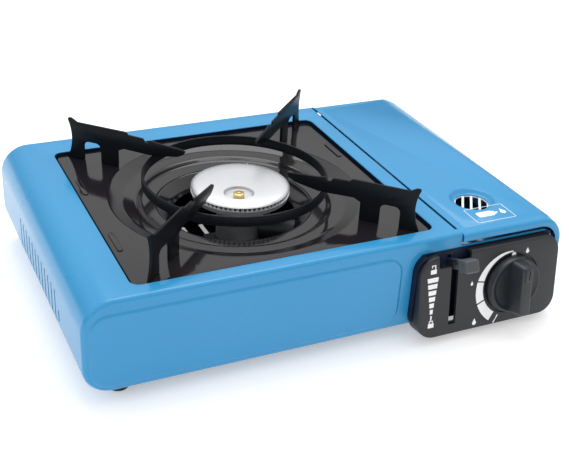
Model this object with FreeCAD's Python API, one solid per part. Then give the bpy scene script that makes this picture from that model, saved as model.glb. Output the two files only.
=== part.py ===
import FreeCAD
import Part
import math
import os
from FreeCAD import Vector

# Portable single-burner gas stove with a side bay for a gas cartridge.
# Millimetres. Z is up from the ground, X runs along the front, the front faces -Y.

# ---- body ----
body_width = 370.0
body_depth = 248.0
body_top = 81.0
rim_height = 11.2          # ground to the lower rim of the body
sheet = 1.0                # painted body sheet
top_round = 22.0           # outer radius of the long upper edges
bottom_round = 20.0        # outer radius of the long lower edges
face_round = 3.0           # small radius around the front and back faces
flange_width = 9.0         # inward flange along the lower rim
seam_from_right = 91.0     # line where the fixed deck ends and the lid starts
seam_gap = 0.5

# ---- deck opening, tray, burner ----
well_from_right = 219.5    # middle of the tray's bowl
well_from_front = 118.0
opening_width = 226.0
opening_depth = 210.0
opening_round = 7.0
opening_drop = 5.6         # turned-down edge of the opening
ledge_width = 5.0          # ledge that carries the tray
tray_sink = 2.5            # tray surface below the deck
tray_sheet = 0.8
tray_gap = 1.4             # gap between tray and opening, each side
bowl_radius = 95.5
bowl_steps = ((84.0, 4.5), (74.0, 5.0), (70.0, 8.0), (59.0, 8.6), (50.5, 15.0))
tray_hole_radius = 48.0
rib_length = 26.0
rib_width = 4.0
rib_height = 0.9
burner_radius = 37.7
burner_shift = (5.2, 1.5)   # burner axis from the middle of the tray's bowl
burner_top = 85.0
cap_height = 6.5
port_count = 64
port_width = 1.7
port_height = 2.3
chamber_radius = 18.0
chamber_bottom = 40.0
cap_pocket_radius = 11.0
cap_pocket_offset = 17.0
cap_pocket_angle = 244.0
electrode_reach = 41.2     # burner axis to the spark electrode

# ---- mixing tube and jet ----
tube_z = 48.0
tube_radius = 9.0
tube_wall = 0.8
jet_radius = 3.5
jet_length = 9.0
jet_gap = 0.4
pipe_radius = 3.0
pipe_length = 36.0

# ---- pan support ----
arm_sheet = 2.0
ring_radius = 70.0
ring_sheet = 2.0
ring_height = 8.0
ring_top_above_tray = 16.0
arm_reach = 143.5          # burner axis to the outer corner of a foot
foot_inner = 98.5          # burner axis to the inner edge of the inner leg
leg_width = 15.0
leg_gap_height = 16.0
leg_gap_round = 4.5
arm_top_above_tray = 31.0  # flat pan-bearing edge
horn_above_tray = 33.8
tip_radius = 41.0          # burner axis to the finger tip
tip_above_tray = 24.5

# ---- control panel ----
panel_from_right = 7.4
panel_width = 121.1
panel_bottom = 7.4
panel_height = 64.5
panel_round = 14.0
panel_wall = 2.5
panel_tilt = 7.0
panel_proud = 15.2         # face ahead of the body front at the panel's lower edge
notch_from_left = 15.0
notch_width = 27.0
notch_depth = 9.5
slot_from_left = 28.5
slot_width = 5.8
slot_bottom = 8.6
collar_wall = 1.0
collar_gap = 0.5
collar_depth = 5.0

# ---- knob and regulator ----
knob_from_right = 49.0
knob_height_on_panel = 30.0
knob_radius = 22.6
knob_skirt = 6.0
knob_reach = 19.0
grip_width = 13.0
recess_gap = 1.6
recess_depth = 1.3
spindle_radius = 3.0
running_gap = 0.06
striker_plane = (15.0, 17.0)   # depths behind the panel face
striker_length = 20.0
striker_rest_angle = 25.0
igniter_offset = 18.5
grommet_radius = 3.4
lead_radius = 1.5
igniter_radius = 3.6
igniter_drop = 9.2         # top of the clicker below the knob's centre
plunger_radius = 2.0
plunger_inside = 3.5
plunger_travel = 2.4
bay_from_right = 46.0      # cartridge axis
cartridge_z = 45.0
cartridge_radius = 33.5
cartridge_length = 188.0
regulator_block = (34.0, 22.0, 36.0)
regulator_from_front = 8.5
neck_radius = 9.0
neck_length = 4.5
collar_radius = 17.0
collar_sheet = 1.5
collar_depth_inside = 7.5
key_width = 6.0            # slot for the locating tab of the cartridge's rim

# ---- lock lever and carriage ----
pivot_from_front = 28.0
pivot_z = 46.0
lever_length = 62.0
lever_rest_angle = 23.9
lever_travel = 50.0
lever_sheet = 4.0
lever_half = 3.5
hub_radius = 7.5
grip_size = (11.5, 11.5, 9.6)
pivot_radius = 2.5
drive_arm = 10.0
drive_pin_radius = 2.0
carriage_sheet = 1.2
carriage_from_partition = 10.6
carriage_low = 26.0
carriage_high = 40.0
carriage_room = 2.5        # air behind the cartridge with the bay unlocked

# ---- bay ----
partition_from_seam = 13.6
partition_sheet = 0.8
cradle_sheet = 0.8
cradle_flat_z = 16.0
floor_sheet = 0.8

# ---- lid ----
lid_overhang = 1.6         # lid's front lip ahead of the body front
lip_height = 6.5
hinge_inset = 3.1          # hinge axis inside the right side
hinge_z = 28.0
knuckle_radius = 3.0
rail_flange = 11.0         # level flange of the side rail under the bay
hinge_room = 4.6           # rail kept this far below the hinge axis
rest_gap = 0.2             # air under pieces that rest on another and lift off
hinge_pin_radius = 1.5
knuckle_length = 30.0
knuckle_gap = 0.4
leaf_sheet = 1.2
vent_from_right = 54.5
vent_from_front = 44.0
vent_radius = 13.0
dish_radius = 18.0
dish_depth = 3.0
grille_pitch = 6.4
grille_slot = 4.6

# ---- feet and fasteners ----
foot_radius = 8.0
foot_inset_x = 28.0
foot_inset_y = 19.0
screw_radius = 1.5
screw_head = 3.0

# ---- derived places ----
tilt = math.radians(panel_tilt)
half_width = body_width / 2
seam_x = half_width - seam_from_right
well_x = half_width - well_from_right
panel_right = half_width - panel_from_right
panel_left = panel_right - panel_width
notch_left = panel_left + notch_from_left
notch_right = notch_left + notch_width
slot_x = panel_left + slot_from_left
knob_x = half_width - knob_from_right
bay_x = half_width - bay_from_right
partition_x = seam_x - partition_from_seam
carriage_x = partition_x + carriage_from_partition
vent_x = half_width - vent_from_right
knob_centre_proud = panel_proud - knob_height_on_panel * math.sin(tilt)
front_reach = knob_centre_proud + knob_reach * math.cos(tilt) + (knob_radius - 2.5) * math.sin(tilt)
front = (front_reach - body_depth) / 2
back = front + body_depth
well_y = front + well_from_front
burner_x = well_x + burner_shift[0]
burner_y = well_y + burner_shift[1]
tray_z = body_top - tray_sink
lid_left = seam_x + seam_gap
inner_top = body_top - sheet
hinge_x = half_width - hinge_inset
pivot_y = front + pivot_from_front
knob_z = panel_bottom + knob_height_on_panel * math.cos(tilt)
knob_y = front - knob_centre_proud
vent_y = front + vent_from_front
regulator_back = front + regulator_from_front + regulator_block[1]
collar_floor = regulator_back + neck_length


def box(x0, x1, y0, y1, z0, z1):
    return Part.makeBox(x1 - x0, y1 - y0, z1 - z0, Vector(x0, y0, z0))


def rod(start, end, radius):
    axis = end.sub(start)
    return Part.makeCylinder(radius, axis.Length, start, axis)


def disc(x, y, z0, z1, radius):
    return Part.makeCylinder(radius, z1 - z0, Vector(x, y, z0))


def outline(points):
    return Part.Face(Part.makePolygon(points + points[:1]))


def rounded_section(x0, x1, z0, z1, radii, y=0.0):
    """Upright face in the XZ plane. Radii run top left, top right, bottom right, bottom left."""
    tl, tr, br, bl = radii
    corners = ((x0, z1, tl, 1, -1), (x1, z1, tr, -1, -1), (x1, z0, br, -1, 1), (x0, z0, bl, 1, 1))
    ends = []
    for index, (x, z, r, sx, sz) in enumerate(corners):
        upright = Vector(x, y, z + sz * r)
        level = Vector(x + sx * r, y, z)
        mid = Vector(x + sx * r * (1 - math.sqrt(0.5)), y, z + sz * r * (1 - math.sqrt(0.5)))
        pair = (upright, level) if index % 2 == 0 else (level, upright)
        ends.append((pair[0], mid, pair[1], r))
    edges = []
    for index, (start, mid, end, r) in enumerate(ends):
        if r > 0:
            edges.append(Part.Arc(start, mid, end).toShape())
        following = ends[(index + 1) % 4][0]
        if end.distanceToPoint(following) > 1e-6:
            edges.append(Part.LineSegment(end, following).toShape())
    return Part.Face(Part.Wire(edges))


def prism(x0, x1, y0, y1, z0, z1, radii):
    return rounded_section(x0, x1, z0, z1, radii, y0).extrude(Vector(0, y1 - y0, 0))


def plate(x0, x1, y0, y1, z0, z1, r):
    """Flat plate with four upright rounded corners."""
    face = rounded_section(x0, x1, y0, y1, (r, r, r, r))
    face.rotate(Vector(0, 0, 0), Vector(1, 0, 0), -90)
    face.translate(Vector(0, 0, z0))
    return face.extrude(Vector(0, 0, z1 - z0))


def on_face(shape):
    """Moves a shape built about the plane y = 0, z up from the panel's lower edge, onto the tilted face."""
    placed = shape.copy()
    placed.rotate(Vector(0, 0, 0), Vector(1, 0, 0), -panel_tilt)
    placed.translate(Vector(0, front - panel_proud, panel_bottom))
    return placed


def end_edges(shape, y, skip_x):
    """Edges of the outline at one end of a prism, without the upright edge at skip_x."""
    found = []
    for edge in shape.Edges:
        box_of = edge.BoundBox
        at_end = abs(box_of.YMin - y) < 1e-4 and abs(box_of.YMax - y) < 1e-4
        at_seam = abs(box_of.XMin - skip_x) < 1e-4 and abs(box_of.XMax - skip_x) < 1e-4
        if at_end and not at_seam:
            found.append(edge)
    return found


def soft_prism(x0, x1, y0, y1, z0, z1, radii, r, open_x):
    """Prism whose front and back outlines are rounded, except along the open side."""
    solid = prism(x0, x1, y0, y1, z0, z1, radii)
    return solid.makeFillet(r, end_edges(solid, y0, open_x) + end_edges(solid, y1, open_x))


def revolve(profile, x, y):
    """Solid of revolution about the upright axis at x, y from (radius, height) points."""
    face = outline([Vector(r, 0, z) for r, z in profile])
    solid = face.revolve(Vector(0, 0, 0), Vector(0, 0, 1), 360)
    solid.translate(Vector(x, y, 0))
    return solid


def body_shell():
    outer = soft_prism(-half_width, seam_x, front, back, rim_height, body_top,
                       (top_round, 0, 0, bottom_round), face_round, seam_x)
    inner = soft_prism(-half_width + sheet, seam_x, front + sheet, back - sheet, rim_height + sheet, inner_top,
                       (top_round - sheet, 0, 0, bottom_round - sheet), face_round - sheet, seam_x)
    shell = outer.cut(inner)
    shell = shell.cut(box(-half_width + bottom_round + flange_width, seam_x + 1, front + flange_width,
                          back - flange_width, rim_height - 1, rim_height + sheet + 1))
    bay_wall_top = body_top - 10.0
    bay_wall_right = half_width - 9.5
    for wall_y in (front, back - sheet):
        shell = shell.fuse(prism(seam_x - 1, bay_wall_right, wall_y, wall_y + sheet, rim_height, bay_wall_top,
                                 (0, 10.0, 12.0, 0)))
    shell = shell.fuse(prism(-half_width + 4.0, panel_left - 10.0, front - 1.0, front + sheet / 2,
                             rim_height + 4.2, body_top - 10.0, (13.0, 12.0, 12.0, 13.0)))
    shell = cut_opening(shell)
    shell = shell.cut(side_vents())
    return cut_panel_area(shell).removeSplitter()


def well_box(margin):
    return (well_x - opening_width / 2 - margin, well_x + opening_width / 2 + margin,
            well_y - opening_depth / 2 - margin, well_y + opening_depth / 2 + margin)


def cut_opening(shell):
    """The deck opening: a turned-down edge that ends in a ledge for the tray."""
    ledge_z = body_top - opening_drop
    skirt = plate(*well_box(sheet), ledge_z, inner_top + sheet / 2, opening_round + sheet)
    shell = shell.cut(plate(*well_box(0.0), ledge_z, body_top + 1, opening_round))
    skirt = skirt.cut(plate(*well_box(0.0), ledge_z + sheet, body_top + 1, opening_round))
    skirt = skirt.cut(plate(*well_box(-ledge_width), ledge_z - 1, body_top + 1, opening_round))
    return shell.fuse(skirt)


def side_vents():
    """Upright air slots in the left wall."""
    slots = []
    pitch = 9.7
    for index in range(13):
        y = well_y + 59.5 - index * pitch
        tall = 26.0 if index < 12 else 9.0
        top = 52.0 if index < 12 else 41.0
        slots.append(box(-half_width - 1, -half_width + 3, y - 1.2, y + 1.2, top - tall, top))
    return Part.makeCompound(slots)


def cut_panel_area(shell):
    """Collar that frames the control panel, and the holes behind the panel."""
    ring = prism(panel_left - collar_gap - collar_wall, panel_right, front - collar_depth, front + sheet,
                 panel_bottom, panel_bottom + panel_height + 1.5, (panel_round + 1.5,) * 4)
    hole = prism(panel_left - collar_gap, panel_right + 10, front - collar_depth - 1, front,
                 panel_bottom - 6, panel_bottom + panel_height + 0.5, (panel_round,) * 4)
    ring = ring.cut(hole).common(box(panel_left - 5, panel_left + 4, front - 20, front + 5, 0, body_top))
    shell = shell.fuse(ring)
    reach = pivot_from_front * math.tan(math.radians(lever_rest_angle)) + lever_half + 5.0
    shell = shell.cut(box(slot_x - slot_width / 2, slot_x + slot_width / 2, front - 1, front + 4,
                          pivot_z - reach, pivot_z + reach))
    for place in panel_screw_places():
        shell = shell.cut(rod(place + Vector(0, -1, 0), place + Vector(0, 2, 0), screw_radius + 0.1))
    return shell.cut(Part.makeCylinder(9.0, 30, Vector(knob_x, front - 15, knob_z), Vector(0, 1, 0)))


def bottom_plate():
    inset = face_round + 0.2
    z = rim_height + sheet
    floor = plate(-half_width + bottom_round + 0.5, partition_x + 8.0, front + inset, back - inset,
                  z, z + floor_sheet, 3.0)
    slots = []
    for index in range(7):
        x = well_x - 48.0 + index * 16.0
        for side in (-1, 1):
            slots.append(box(x - 2, x + 2, well_y + side * 55 - 18, well_y + side * 55 + 18, z - 1, z + 2))
    return floor.cut(Part.makeCompound(slots))


def partition_wall():
    """Heat shield between the burner bay and the cartridge bay, with a foot and a head flange."""
    low = rim_height + sheet + floor_sheet
    high = inner_top
    x0 = partition_x
    x1 = partition_x + partition_sheet
    y0 = front + face_round + 0.3
    y1 = back - face_round - 0.3
    wall = box(x0, x1, y0, y1, low, high)
    wall = wall.fuse(box(x0, x0 + 8.0, y0, y1, low, low + partition_sheet))
    wall = wall.fuse(box(x0, x0 + 10.0, y0, y1, high - partition_sheet, high))
    start, direction = jet_line()
    wall = wall.cut(rod(start, start + direction * (pipe_length + jet_length), jet_radius + 1.5))
    wall = wall.cut(rod(*grommet_axis(), grommet_radius - 0.8))
    holes = [box(x0 - 1, x1 + 1, back - 120 + 14 * i, back - 112 + 14 * i, 50, 70) for i in range(6)]
    return wall.cut(Part.makeCompound(holes))


def cartridge_cradle():
    """Trough under the cartridge with two level shelves."""
    y0 = front + face_round + 0.6
    y1 = back - face_round - 0.6
    x_left = partition_x + partition_sheet + 0.3
    x_right = half_width - bottom_round - rail_flange - 1.0
    r_in = cartridge_radius + 0.7
    shelf = box(x_left, x_right, y0, y1, cradle_flat_z - cradle_sheet, cradle_flat_z)
    trough = Part.makeCylinder(r_in + cradle_sheet, y1 - y0, Vector(bay_x, y0, cartridge_z), Vector(0, 1, 0))
    trough = trough.common(box(0, half_width, y0, y1, 0, cradle_flat_z))
    hollow = Part.makeCylinder(r_in, y1 - y0 + 2, Vector(bay_x, y0 - 1, cartridge_z), Vector(0, 1, 0))
    leg = box(x_left, x_left + cradle_sheet, y0, y1, rim_height + sheet + floor_sheet + partition_sheet + 0.1,
              cradle_flat_z)
    return shelf.fuse(trough).fuse(leg).cut(hollow)


def side_rail():
    """Lower right side of the body with the fixed hinge knuckles and an upstand behind the hinge."""
    y0 = front + 0.6
    y1 = back - 0.6
    top = hinge_z - hinge_room
    cap_x = half_width - 9.0
    outer = prism(seam_x + 40, half_width, y0, y1, rim_height, hinge_z + 30, (0, 0, bottom_round, 0))
    inner = prism(seam_x, half_width - sheet, y0 + sheet, y1 - sheet, rim_height + sheet, hinge_z + 40,
                  (0, 0, bottom_round - sheet, 0))
    rail = outer.cut(inner)
    rail = rail.common(box(half_width - bottom_round - rail_flange, half_width, y0, y1, 0, top))
    rail = rail.cut(box(0, cap_x, y0 - 1, y0 + 2 * sheet, 0, top))
    rail = rail.cut(box(0, cap_x, y1 - 2 * sheet, y1 + 1, 0, top))
    upstand_x = hinge_x - knuckle_radius - 0.5 - sheet
    rail = rail.fuse(box(upstand_x, upstand_x + sheet, front + 3.0, back - 3.0, rim_height + 5.8, hinge_z + 12))
    leaf_x = half_width - 3.2
    for centre in knuckle_centres(False):
        rail = rail.fuse(knuckle(centre, leaf_x, top - 1.5, hinge_z))
    return rail.removeSplitter()


def knuckle_centres(moving):
    """Middles of the hinge knuckles; fixed and moving ones alternate."""
    pitch = knuckle_length + knuckle_gap
    middle = (front + back) / 2
    places = [middle + (index - 3) * pitch for index in range(7)]
    return [y for index, y in enumerate(places) if (index % 2 == 1) == moving]


def knuckle(centre, leaf_x, leaf_low, leaf_high):
    """Rolled sheet knuckle: a tube with an upright leaf that joins it to the wall."""
    y0 = centre - knuckle_length / 2
    y1 = centre + knuckle_length / 2
    roll = rod(Vector(hinge_x, y0, hinge_z), Vector(hinge_x, y1, hinge_z), knuckle_radius)
    roll = roll.fuse(box(leaf_x, leaf_x + leaf_sheet, y0, y1, leaf_low, leaf_high))
    bore = rod(Vector(hinge_x, y0 - 1, hinge_z), Vector(hinge_x, y1 + 1, hinge_z), hinge_pin_radius + running_gap)
    return roll.cut(bore)


def hinge_pin():
    ends = knuckle_centres(False)
    y0 = ends[0] - knuckle_length / 2 - 1.0
    y1 = ends[-1] + knuckle_length / 2 + 1.0
    return rod(Vector(hinge_x, y0, hinge_z), Vector(hinge_x, y1, hinge_z), hinge_pin_radius)


def lid_panel():
    """Pressed cover of the cartridge bay: deck, rounded right side and end lips in one sheet."""
    y0 = front - lid_overhang
    y1 = back
    low = hinge_z + knuckle_radius + 0.4
    blank_low = low - 3 * face_round
    outer = soft_prism(lid_left, half_width, y0, y1, blank_low, body_top, (0, top_round, 0, 0), face_round, lid_left)
    inner = soft_prism(lid_left, half_width - sheet, y0 + sheet, y1 - sheet, blank_low, inner_top,
                       (0, top_round - sheet, 0, 0), face_round - sheet, lid_left)
    shell = outer.cut(inner).cut(box(lid_left - 1, half_width + 1, y0 - 1, y1 + 1, blank_low - 1, low))
    mouth = prism(lid_left - 1, half_width - lip_height, y0 - 1, y1 + 1, low - 3, body_top - lip_height,
                  (0, top_round - lip_height, 0, 0))
    shell = shell.cut(mouth)
    for centre in knuckle_centres(False):
        reach = knuckle_length / 2 + 1.0
        shell = shell.cut(box(half_width - 8, half_width + 1, centre - reach, centre + reach, low - 1, low + 3.2))
    shell = shell.cut(disc(vent_x, vent_y, inner_top - 1, body_top + 1, dish_radius))
    shell = shell.fuse(vent_dish())
    for centre in knuckle_centres(True):
        shell = shell.fuse(knuckle(centre, half_width - leaf_sheet, hinge_z, low + 0.5))
    return shell


def vent_dish():
    """Round dished vent, open in the middle."""
    t = sheet
    low = body_top - dish_depth
    profile = [(dish_radius + 0.2, body_top), (dish_radius + 0.2, inner_top), (dish_radius - 1.0, inner_top),
               (vent_radius, low - t), (vent_radius, low), (dish_radius - 0.4, body_top)]
    return revolve(profile, vent_x, vent_y)


def vent_grille():
    """Bright insert with open slots, held under the dished vent."""
    high = body_top - dish_depth - sheet
    low = high - 1.0
    plate_disc = disc(vent_x, vent_y, low, high, vent_radius + 2.0)
    slots = []
    for index in range(4):
        middle = vent_x + grille_pitch * (index - 1.5)
        slots.append(box(middle - grille_slot / 2, middle + grille_slot / 2, vent_y - vent_radius,
                         vent_y + vent_radius, low - 1, high + 1))
    cuts = Part.makeCompound(slots)
    cuts.rotate(Vector(vent_x, vent_y, 0), Vector(0, 0, 1), -33)
    cuts = cuts.common(disc(vent_x, vent_y, low - 1, high + 1, vent_radius - 0.4))
    return plate_disc.cut(cuts)


def lid_rest():
    """Spring leaf under the deck's edge that carries the lid's free edge."""
    y0 = well_y - 12
    y1 = well_y + 12
    leaf = box(partition_x + 10.5, lid_left + 6, y0, y1, inner_top - 1.4, inner_top - 0.8)
    return leaf.fuse(box(partition_x + 10.5, seam_x - 0.5, y0, y1, inner_top - 1.4, inner_top))


def control_panel():
    face = prism(panel_left, panel_right, 0, 40, 0, panel_height, (panel_round,) * 4)
    face = face.makeFillet(1.6, end_edges(face, 0, 1e6))
    w = panel_wall
    hollow = prism(panel_left + w, panel_right - w, w, 41, w, panel_height - w, (panel_round - w,) * 4)
    panel = face.cut(hollow)
    centre = Vector(knob_x, 0, knob_height_on_panel)
    panel = panel.cut(Part.makeCylinder(knob_radius + recess_gap, recess_depth + 1, centre + Vector(0, -1, 0),
                                        Vector(0, 1, 0)))
    panel = panel.cut(Part.makeCylinder(spindle_radius + 1.5, 20, centre + Vector(0, -1, 0), Vector(0, 1, 0)))
    panel = panel.cut(box(slot_x - slot_width / 2, slot_x + slot_width / 2, -1, w + 3,
                          slot_bottom, panel_height - notch_depth + 1))
    panel = panel.cut(prism(notch_left, notch_right, -1, 7.0, panel_height - notch_depth, panel_height + 5,
                            (0, 0, 2.0, 2.0)))
    for x in (panel_left + 12, panel_right - 12):
        for z in (12.0, panel_height - 12):
            boss = Part.makeCylinder(3.2, 40, Vector(x, w - 0.5, z), Vector(0, 1, 0))
            panel = panel.fuse(boss)
    panel = on_face(panel)
    panel = panel.cut(box(-half_width, half_width, front - 0.05, front + 80, -20, body_top + 40))
    for place in panel_screw_places():
        panel = panel.cut(rod(place + Vector(0, -5.5, 0), place + Vector(0, 1, 0), screw_radius))
    return panel


def panel_screw_places():
    """Points on the body front where the panel's bosses meet it."""
    places = []
    for x in (panel_left + 12, panel_right - 12):
        for v in (12.0, panel_height - 12):
            proud = panel_proud - v * math.sin(tilt)
            z = panel_bottom + v * math.cos(tilt) - proud * math.tan(tilt)
            places.append(Vector(x, front, z))
    return places


def panel_screws():
    screws = []
    for place in panel_screw_places():
        shank = rod(place + Vector(0, -4.5, 0), place + Vector(0, sheet, 0), screw_radius)
        head = rod(place + Vector(0, sheet, 0), place + Vector(0, sheet + 1.6, 0), screw_head)
        screws.append(shank.fuse(head))
    return Part.makeCompound(screws)


def knob():
    base = Vector(knob_x, 0, knob_height_on_panel)
    out = Vector(0, -1, 0)
    skirt = Part.makeCone(knob_radius, knob_radius - 1.2, knob_skirt, base + Vector(0, recess_depth - 0.5, 0), out)
    top = knob_reach
    length = knob_radius - 3.0
    grip = Part.makeCone(knob_radius - 1.5, length, top, base, out)
    sides = box(knob_x - grip_width / 2, knob_x + grip_width / 2, -top - 1, 2,
                base.z - 30, base.z + 30)
    grip = grip.common(sides)
    body = skirt.fuse(grip)
    pointer = box(knob_x - 2.6, knob_x + 2.6, -top + 1.0, -knob_skirt + 2, base.z + length - 6.0,
                  base.z + knob_radius - 1.2)
    body = body.fuse(pointer)
    body = body.cut(Part.makeCylinder(spindle_radius, 14.0, base + Vector(0, 2, 0), out))
    return on_face(body)


def valve_spindle():
    """Spindle with a striker arm that swings round to the igniter past full gas."""
    base = Vector(knob_x, -11.9, knob_height_on_panel)
    shaft = Part.makeCylinder(spindle_radius, 44.0, base, Vector(0, 1, 0))
    low, high = striker_plane
    hub = Part.makeCylinder(5.5, high - low, Vector(knob_x, low, knob_height_on_panel), Vector(0, 1, 0))
    arm = box(0, striker_length, low, high, -2.4, 2.4)
    arm.rotate(Vector(0, 0, 0), Vector(0, 1, 0), -striker_rest_angle)
    arm.translate(Vector(knob_x, 0, knob_height_on_panel))
    return on_face(shaft.fuse(hub).fuse(arm))


def regulator_body():
    """Die-cast valve block with a neck for the cartridge and a boss for the jet."""
    width, depth, height = regulator_block
    y0 = front + regulator_from_front
    z0 = cartridge_z - 22.0
    block = prism(bay_x - width / 2, bay_x + width / 2, y0, y0 + depth, z0, z0 + height, (6.0,) * 4)
    neck = rod(Vector(bay_x, y0 + depth - 1, cartridge_z), Vector(bay_x, collar_floor, cartridge_z), neck_radius)
    start, direction = jet_line()
    boss = rod(start - direction * 14, start, 6.0)
    casting = block.fuse(neck).fuse(boss)
    bore = Part.makeCylinder(spindle_radius + running_gap, 36.5, Vector(knob_x, 0, knob_height_on_panel),
                             Vector(0, 1, 0))
    return casting.cut(on_face(bore))


def jet_line():
    """Outer end of the jet boss and the level direction from the regulator to the burner."""
    origin = Vector(bay_x - 8, front + regulator_from_front + regulator_block[1] / 2, tube_z)
    target = Vector(burner_x, burner_y, tube_z)
    direction = target.sub(origin)
    direction.normalize()
    return origin + direction * 20, direction


def gas_pipe():
    start, direction = jet_line()
    return rod(start, start + direction * pipe_length, pipe_radius)


def gas_jet():
    start, direction = jet_line()
    start = start + direction * pipe_length
    body = rod(start, start + direction * (jet_length - 3), jet_radius)
    nose = Part.makeCone(jet_radius, 1.6, 3.0, start + direction * (jet_length - 3), direction)
    return body.fuse(nose)


def tube_ends():
    start, direction = jet_line()
    near = start + direction * (pipe_length + jet_length + jet_gap)
    far = Vector(burner_x, burner_y, tube_z) - direction * (chamber_radius - 1.2)
    return near, far


def mixing_tube():
    near, far = tube_ends()
    tube = rod(near, far, tube_radius)
    tube = tube.cut(rod(near - (far - near) * 0.01, far + (far - near) * 0.01, tube_radius - tube_wall))
    chamber = disc(burner_x, burner_y, 0, 100, chamber_radius)
    return tube.cut(chamber)


def regulator_cover():
    x0 = bay_x + regulator_block[0] / 2
    y = front + regulator_from_front + regulator_block[1] / 2
    z = cartridge_z - 4.0
    cap = Part.makeCone(13.5, 11.5, 6.0, Vector(x0, y, z), Vector(1, 0, 0))
    return cap.makeFillet(1.5, [cap.Edges[0]])


def regulator_bracket():
    """Steel angle under the valve block, standing on the cradle shelf."""
    y0 = front + regulator_from_front
    z1 = cartridge_z - 22.0
    foot = box(bay_x - 30, bay_x - 19.5, y0, y0 + 22, cradle_flat_z, cradle_flat_z + 1.5)
    web = box(bay_x - 21, bay_x - 19.5, y0, y0 + 22, cradle_flat_z, z1)
    shelf = box(bay_x - 21, bay_x + 16, y0, y0 + 22, z1 - 1.5, z1)
    x, y = igniter_place()
    return foot.fuse(web).fuse(shelf).cut(disc(x, y, 0, body_top, igniter_radius + 0.5))


def cartridge_collar():
    """Bayonet cup that locates the cartridge's neck."""
    y0 = collar_floor - collar_sheet
    y1 = collar_floor + collar_depth_inside
    cup = rod(Vector(bay_x, y0, cartridge_z), Vector(bay_x, y1, cartridge_z), collar_radius)
    cup = cup.cut(rod(Vector(bay_x, collar_floor, cartridge_z), Vector(bay_x, y1 + 1, cartridge_z),
                      collar_radius - collar_sheet))
    cup = cup.cut(rod(Vector(bay_x, y0 - 1, cartridge_z), Vector(bay_x, y1, cartridge_z), neck_radius))
    key = box(bay_x - key_width / 2, bay_x + key_width / 2, collar_floor, y1 + 1,
              cartridge_z + neck_radius + 1, cartridge_z + collar_radius + 1)
    return cup.cut(key)


def collar_seal():
    y1 = collar_floor + 2.0
    seal = rod(Vector(bay_x, collar_floor, cartridge_z), Vector(bay_x, y1, cartridge_z), neck_radius - 3.0)
    return seal.cut(rod(Vector(bay_x, collar_floor - 1, cartridge_z), Vector(bay_x, y1 + 1, cartridge_z), 2.4))


def lever_blade():
    """Pressed lever seen from its pivot at the origin, pointing along -Y."""
    t = lever_sheet / 2
    blade = box(-t, t, -lever_length + 4, 0, -lever_half, lever_half)
    hub = rod(Vector(-t, 0, 0), Vector(t, 0, 0), hub_radius)
    return blade.fuse(hub)


def place_lever(shape):
    placed = shape.copy()
    placed.rotate(Vector(0, 0, 0), Vector(1, 0, 0), -lever_rest_angle)
    placed.translate(Vector(slot_x, pivot_y, pivot_z))
    return placed


def lock_lever():
    """Lever with an upper arm whose pin drives the carriage."""
    lever = place_lever(lever_blade())
    swing = math.radians(lever_travel / 2)
    pin_y = pivot_y + drive_arm * math.sin(swing)
    pin_z = pivot_z + drive_arm * math.cos(swing)
    t = lever_sheet / 2
    arm = box(slot_x - t, slot_x + t, -3.0, 3.0, 0, drive_arm + 3.0)
    arm.rotate(Vector(0, 0, 0), Vector(1, 0, 0), -lever_travel / 2)
    arm.translate(Vector(0, pivot_y, pivot_z))
    pin = rod(Vector(slot_x + t - 0.5, pin_y, pin_z), Vector(carriage_x + carriage_sheet + 1.0, pin_y, pin_z),
              drive_pin_radius)
    bore = rod(Vector(slot_x - 10, pivot_y, pivot_z), Vector(slot_x + 10, pivot_y, pivot_z),
               pivot_radius + running_gap)
    return lever.fuse(arm).fuse(pin).cut(bore)


def lever_grip():
    """Moulded finger grip pushed over the lever's end."""
    width, length, height = grip_size
    grip = box(-width / 2, width / 2, -lever_length, -lever_length + length, -height / 2, height / 2)
    grip = grip.makeFillet(1.8, grip.Edges)
    socket = box(-lever_sheet / 2, lever_sheet / 2, -lever_length + 4, 0, -lever_half, lever_half)
    return place_lever(grip.cut(socket))


def pivot_pin():
    x0 = partition_x + partition_sheet
    pin = rod(Vector(x0, pivot_y, pivot_z), Vector(slot_x + 3.6, pivot_y, pivot_z), pivot_radius)
    head = rod(Vector(slot_x + 2.6, pivot_y, pivot_z), Vector(slot_x + 3.6, pivot_y, pivot_z), 4.5)
    return pin.fuse(head)


def lock_carriage():
    """Sliding plate that draws the cartridge forward on to the valve."""
    x0 = carriage_x
    x1 = carriage_x + carriage_sheet
    swing = math.radians(lever_travel / 2)
    pin_y = pivot_y + drive_arm * math.sin(swing)
    tail = carriage_tail()
    strip = box(x0, x1, pivot_y - 8, tail, carriage_low, carriage_high)
    head = box(x0, x1, pivot_y - 8, pin_y + 5, carriage_low, pivot_z + drive_arm + 5)
    tab = box(x0, bay_x + 14, tail - carriage_sheet, tail, carriage_low, carriage_high + 22)
    plate_body = strip.fuse(head).fuse(tab)
    pin_gap = drive_pin_radius + 0.25
    track = box(x0 - 1, x1 + 1, pin_y - pin_gap, pin_y + pin_gap,
                pivot_z + drive_arm * math.cos(swing) - 4.0, pivot_z + drive_arm + 4.0)
    plate_body = plate_body.cut(track)
    for y in guide_places():
        plate_body = plate_body.cut(box(x0 - 1, x1 + 1, y - 2.2, y + carriage_travel() + 3.0, 30.8, 35.2))
    return plate_body


def carriage_tail():
    """Rear face of the tab with the bay unlocked."""
    return collar_floor + cartridge_length + carriage_travel() + carriage_room


def carriage_travel():
    return 2 * drive_arm * math.sin(math.radians(lever_travel / 2))


def guide_places():
    return (front + 90.0, front + 190.0)


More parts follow.
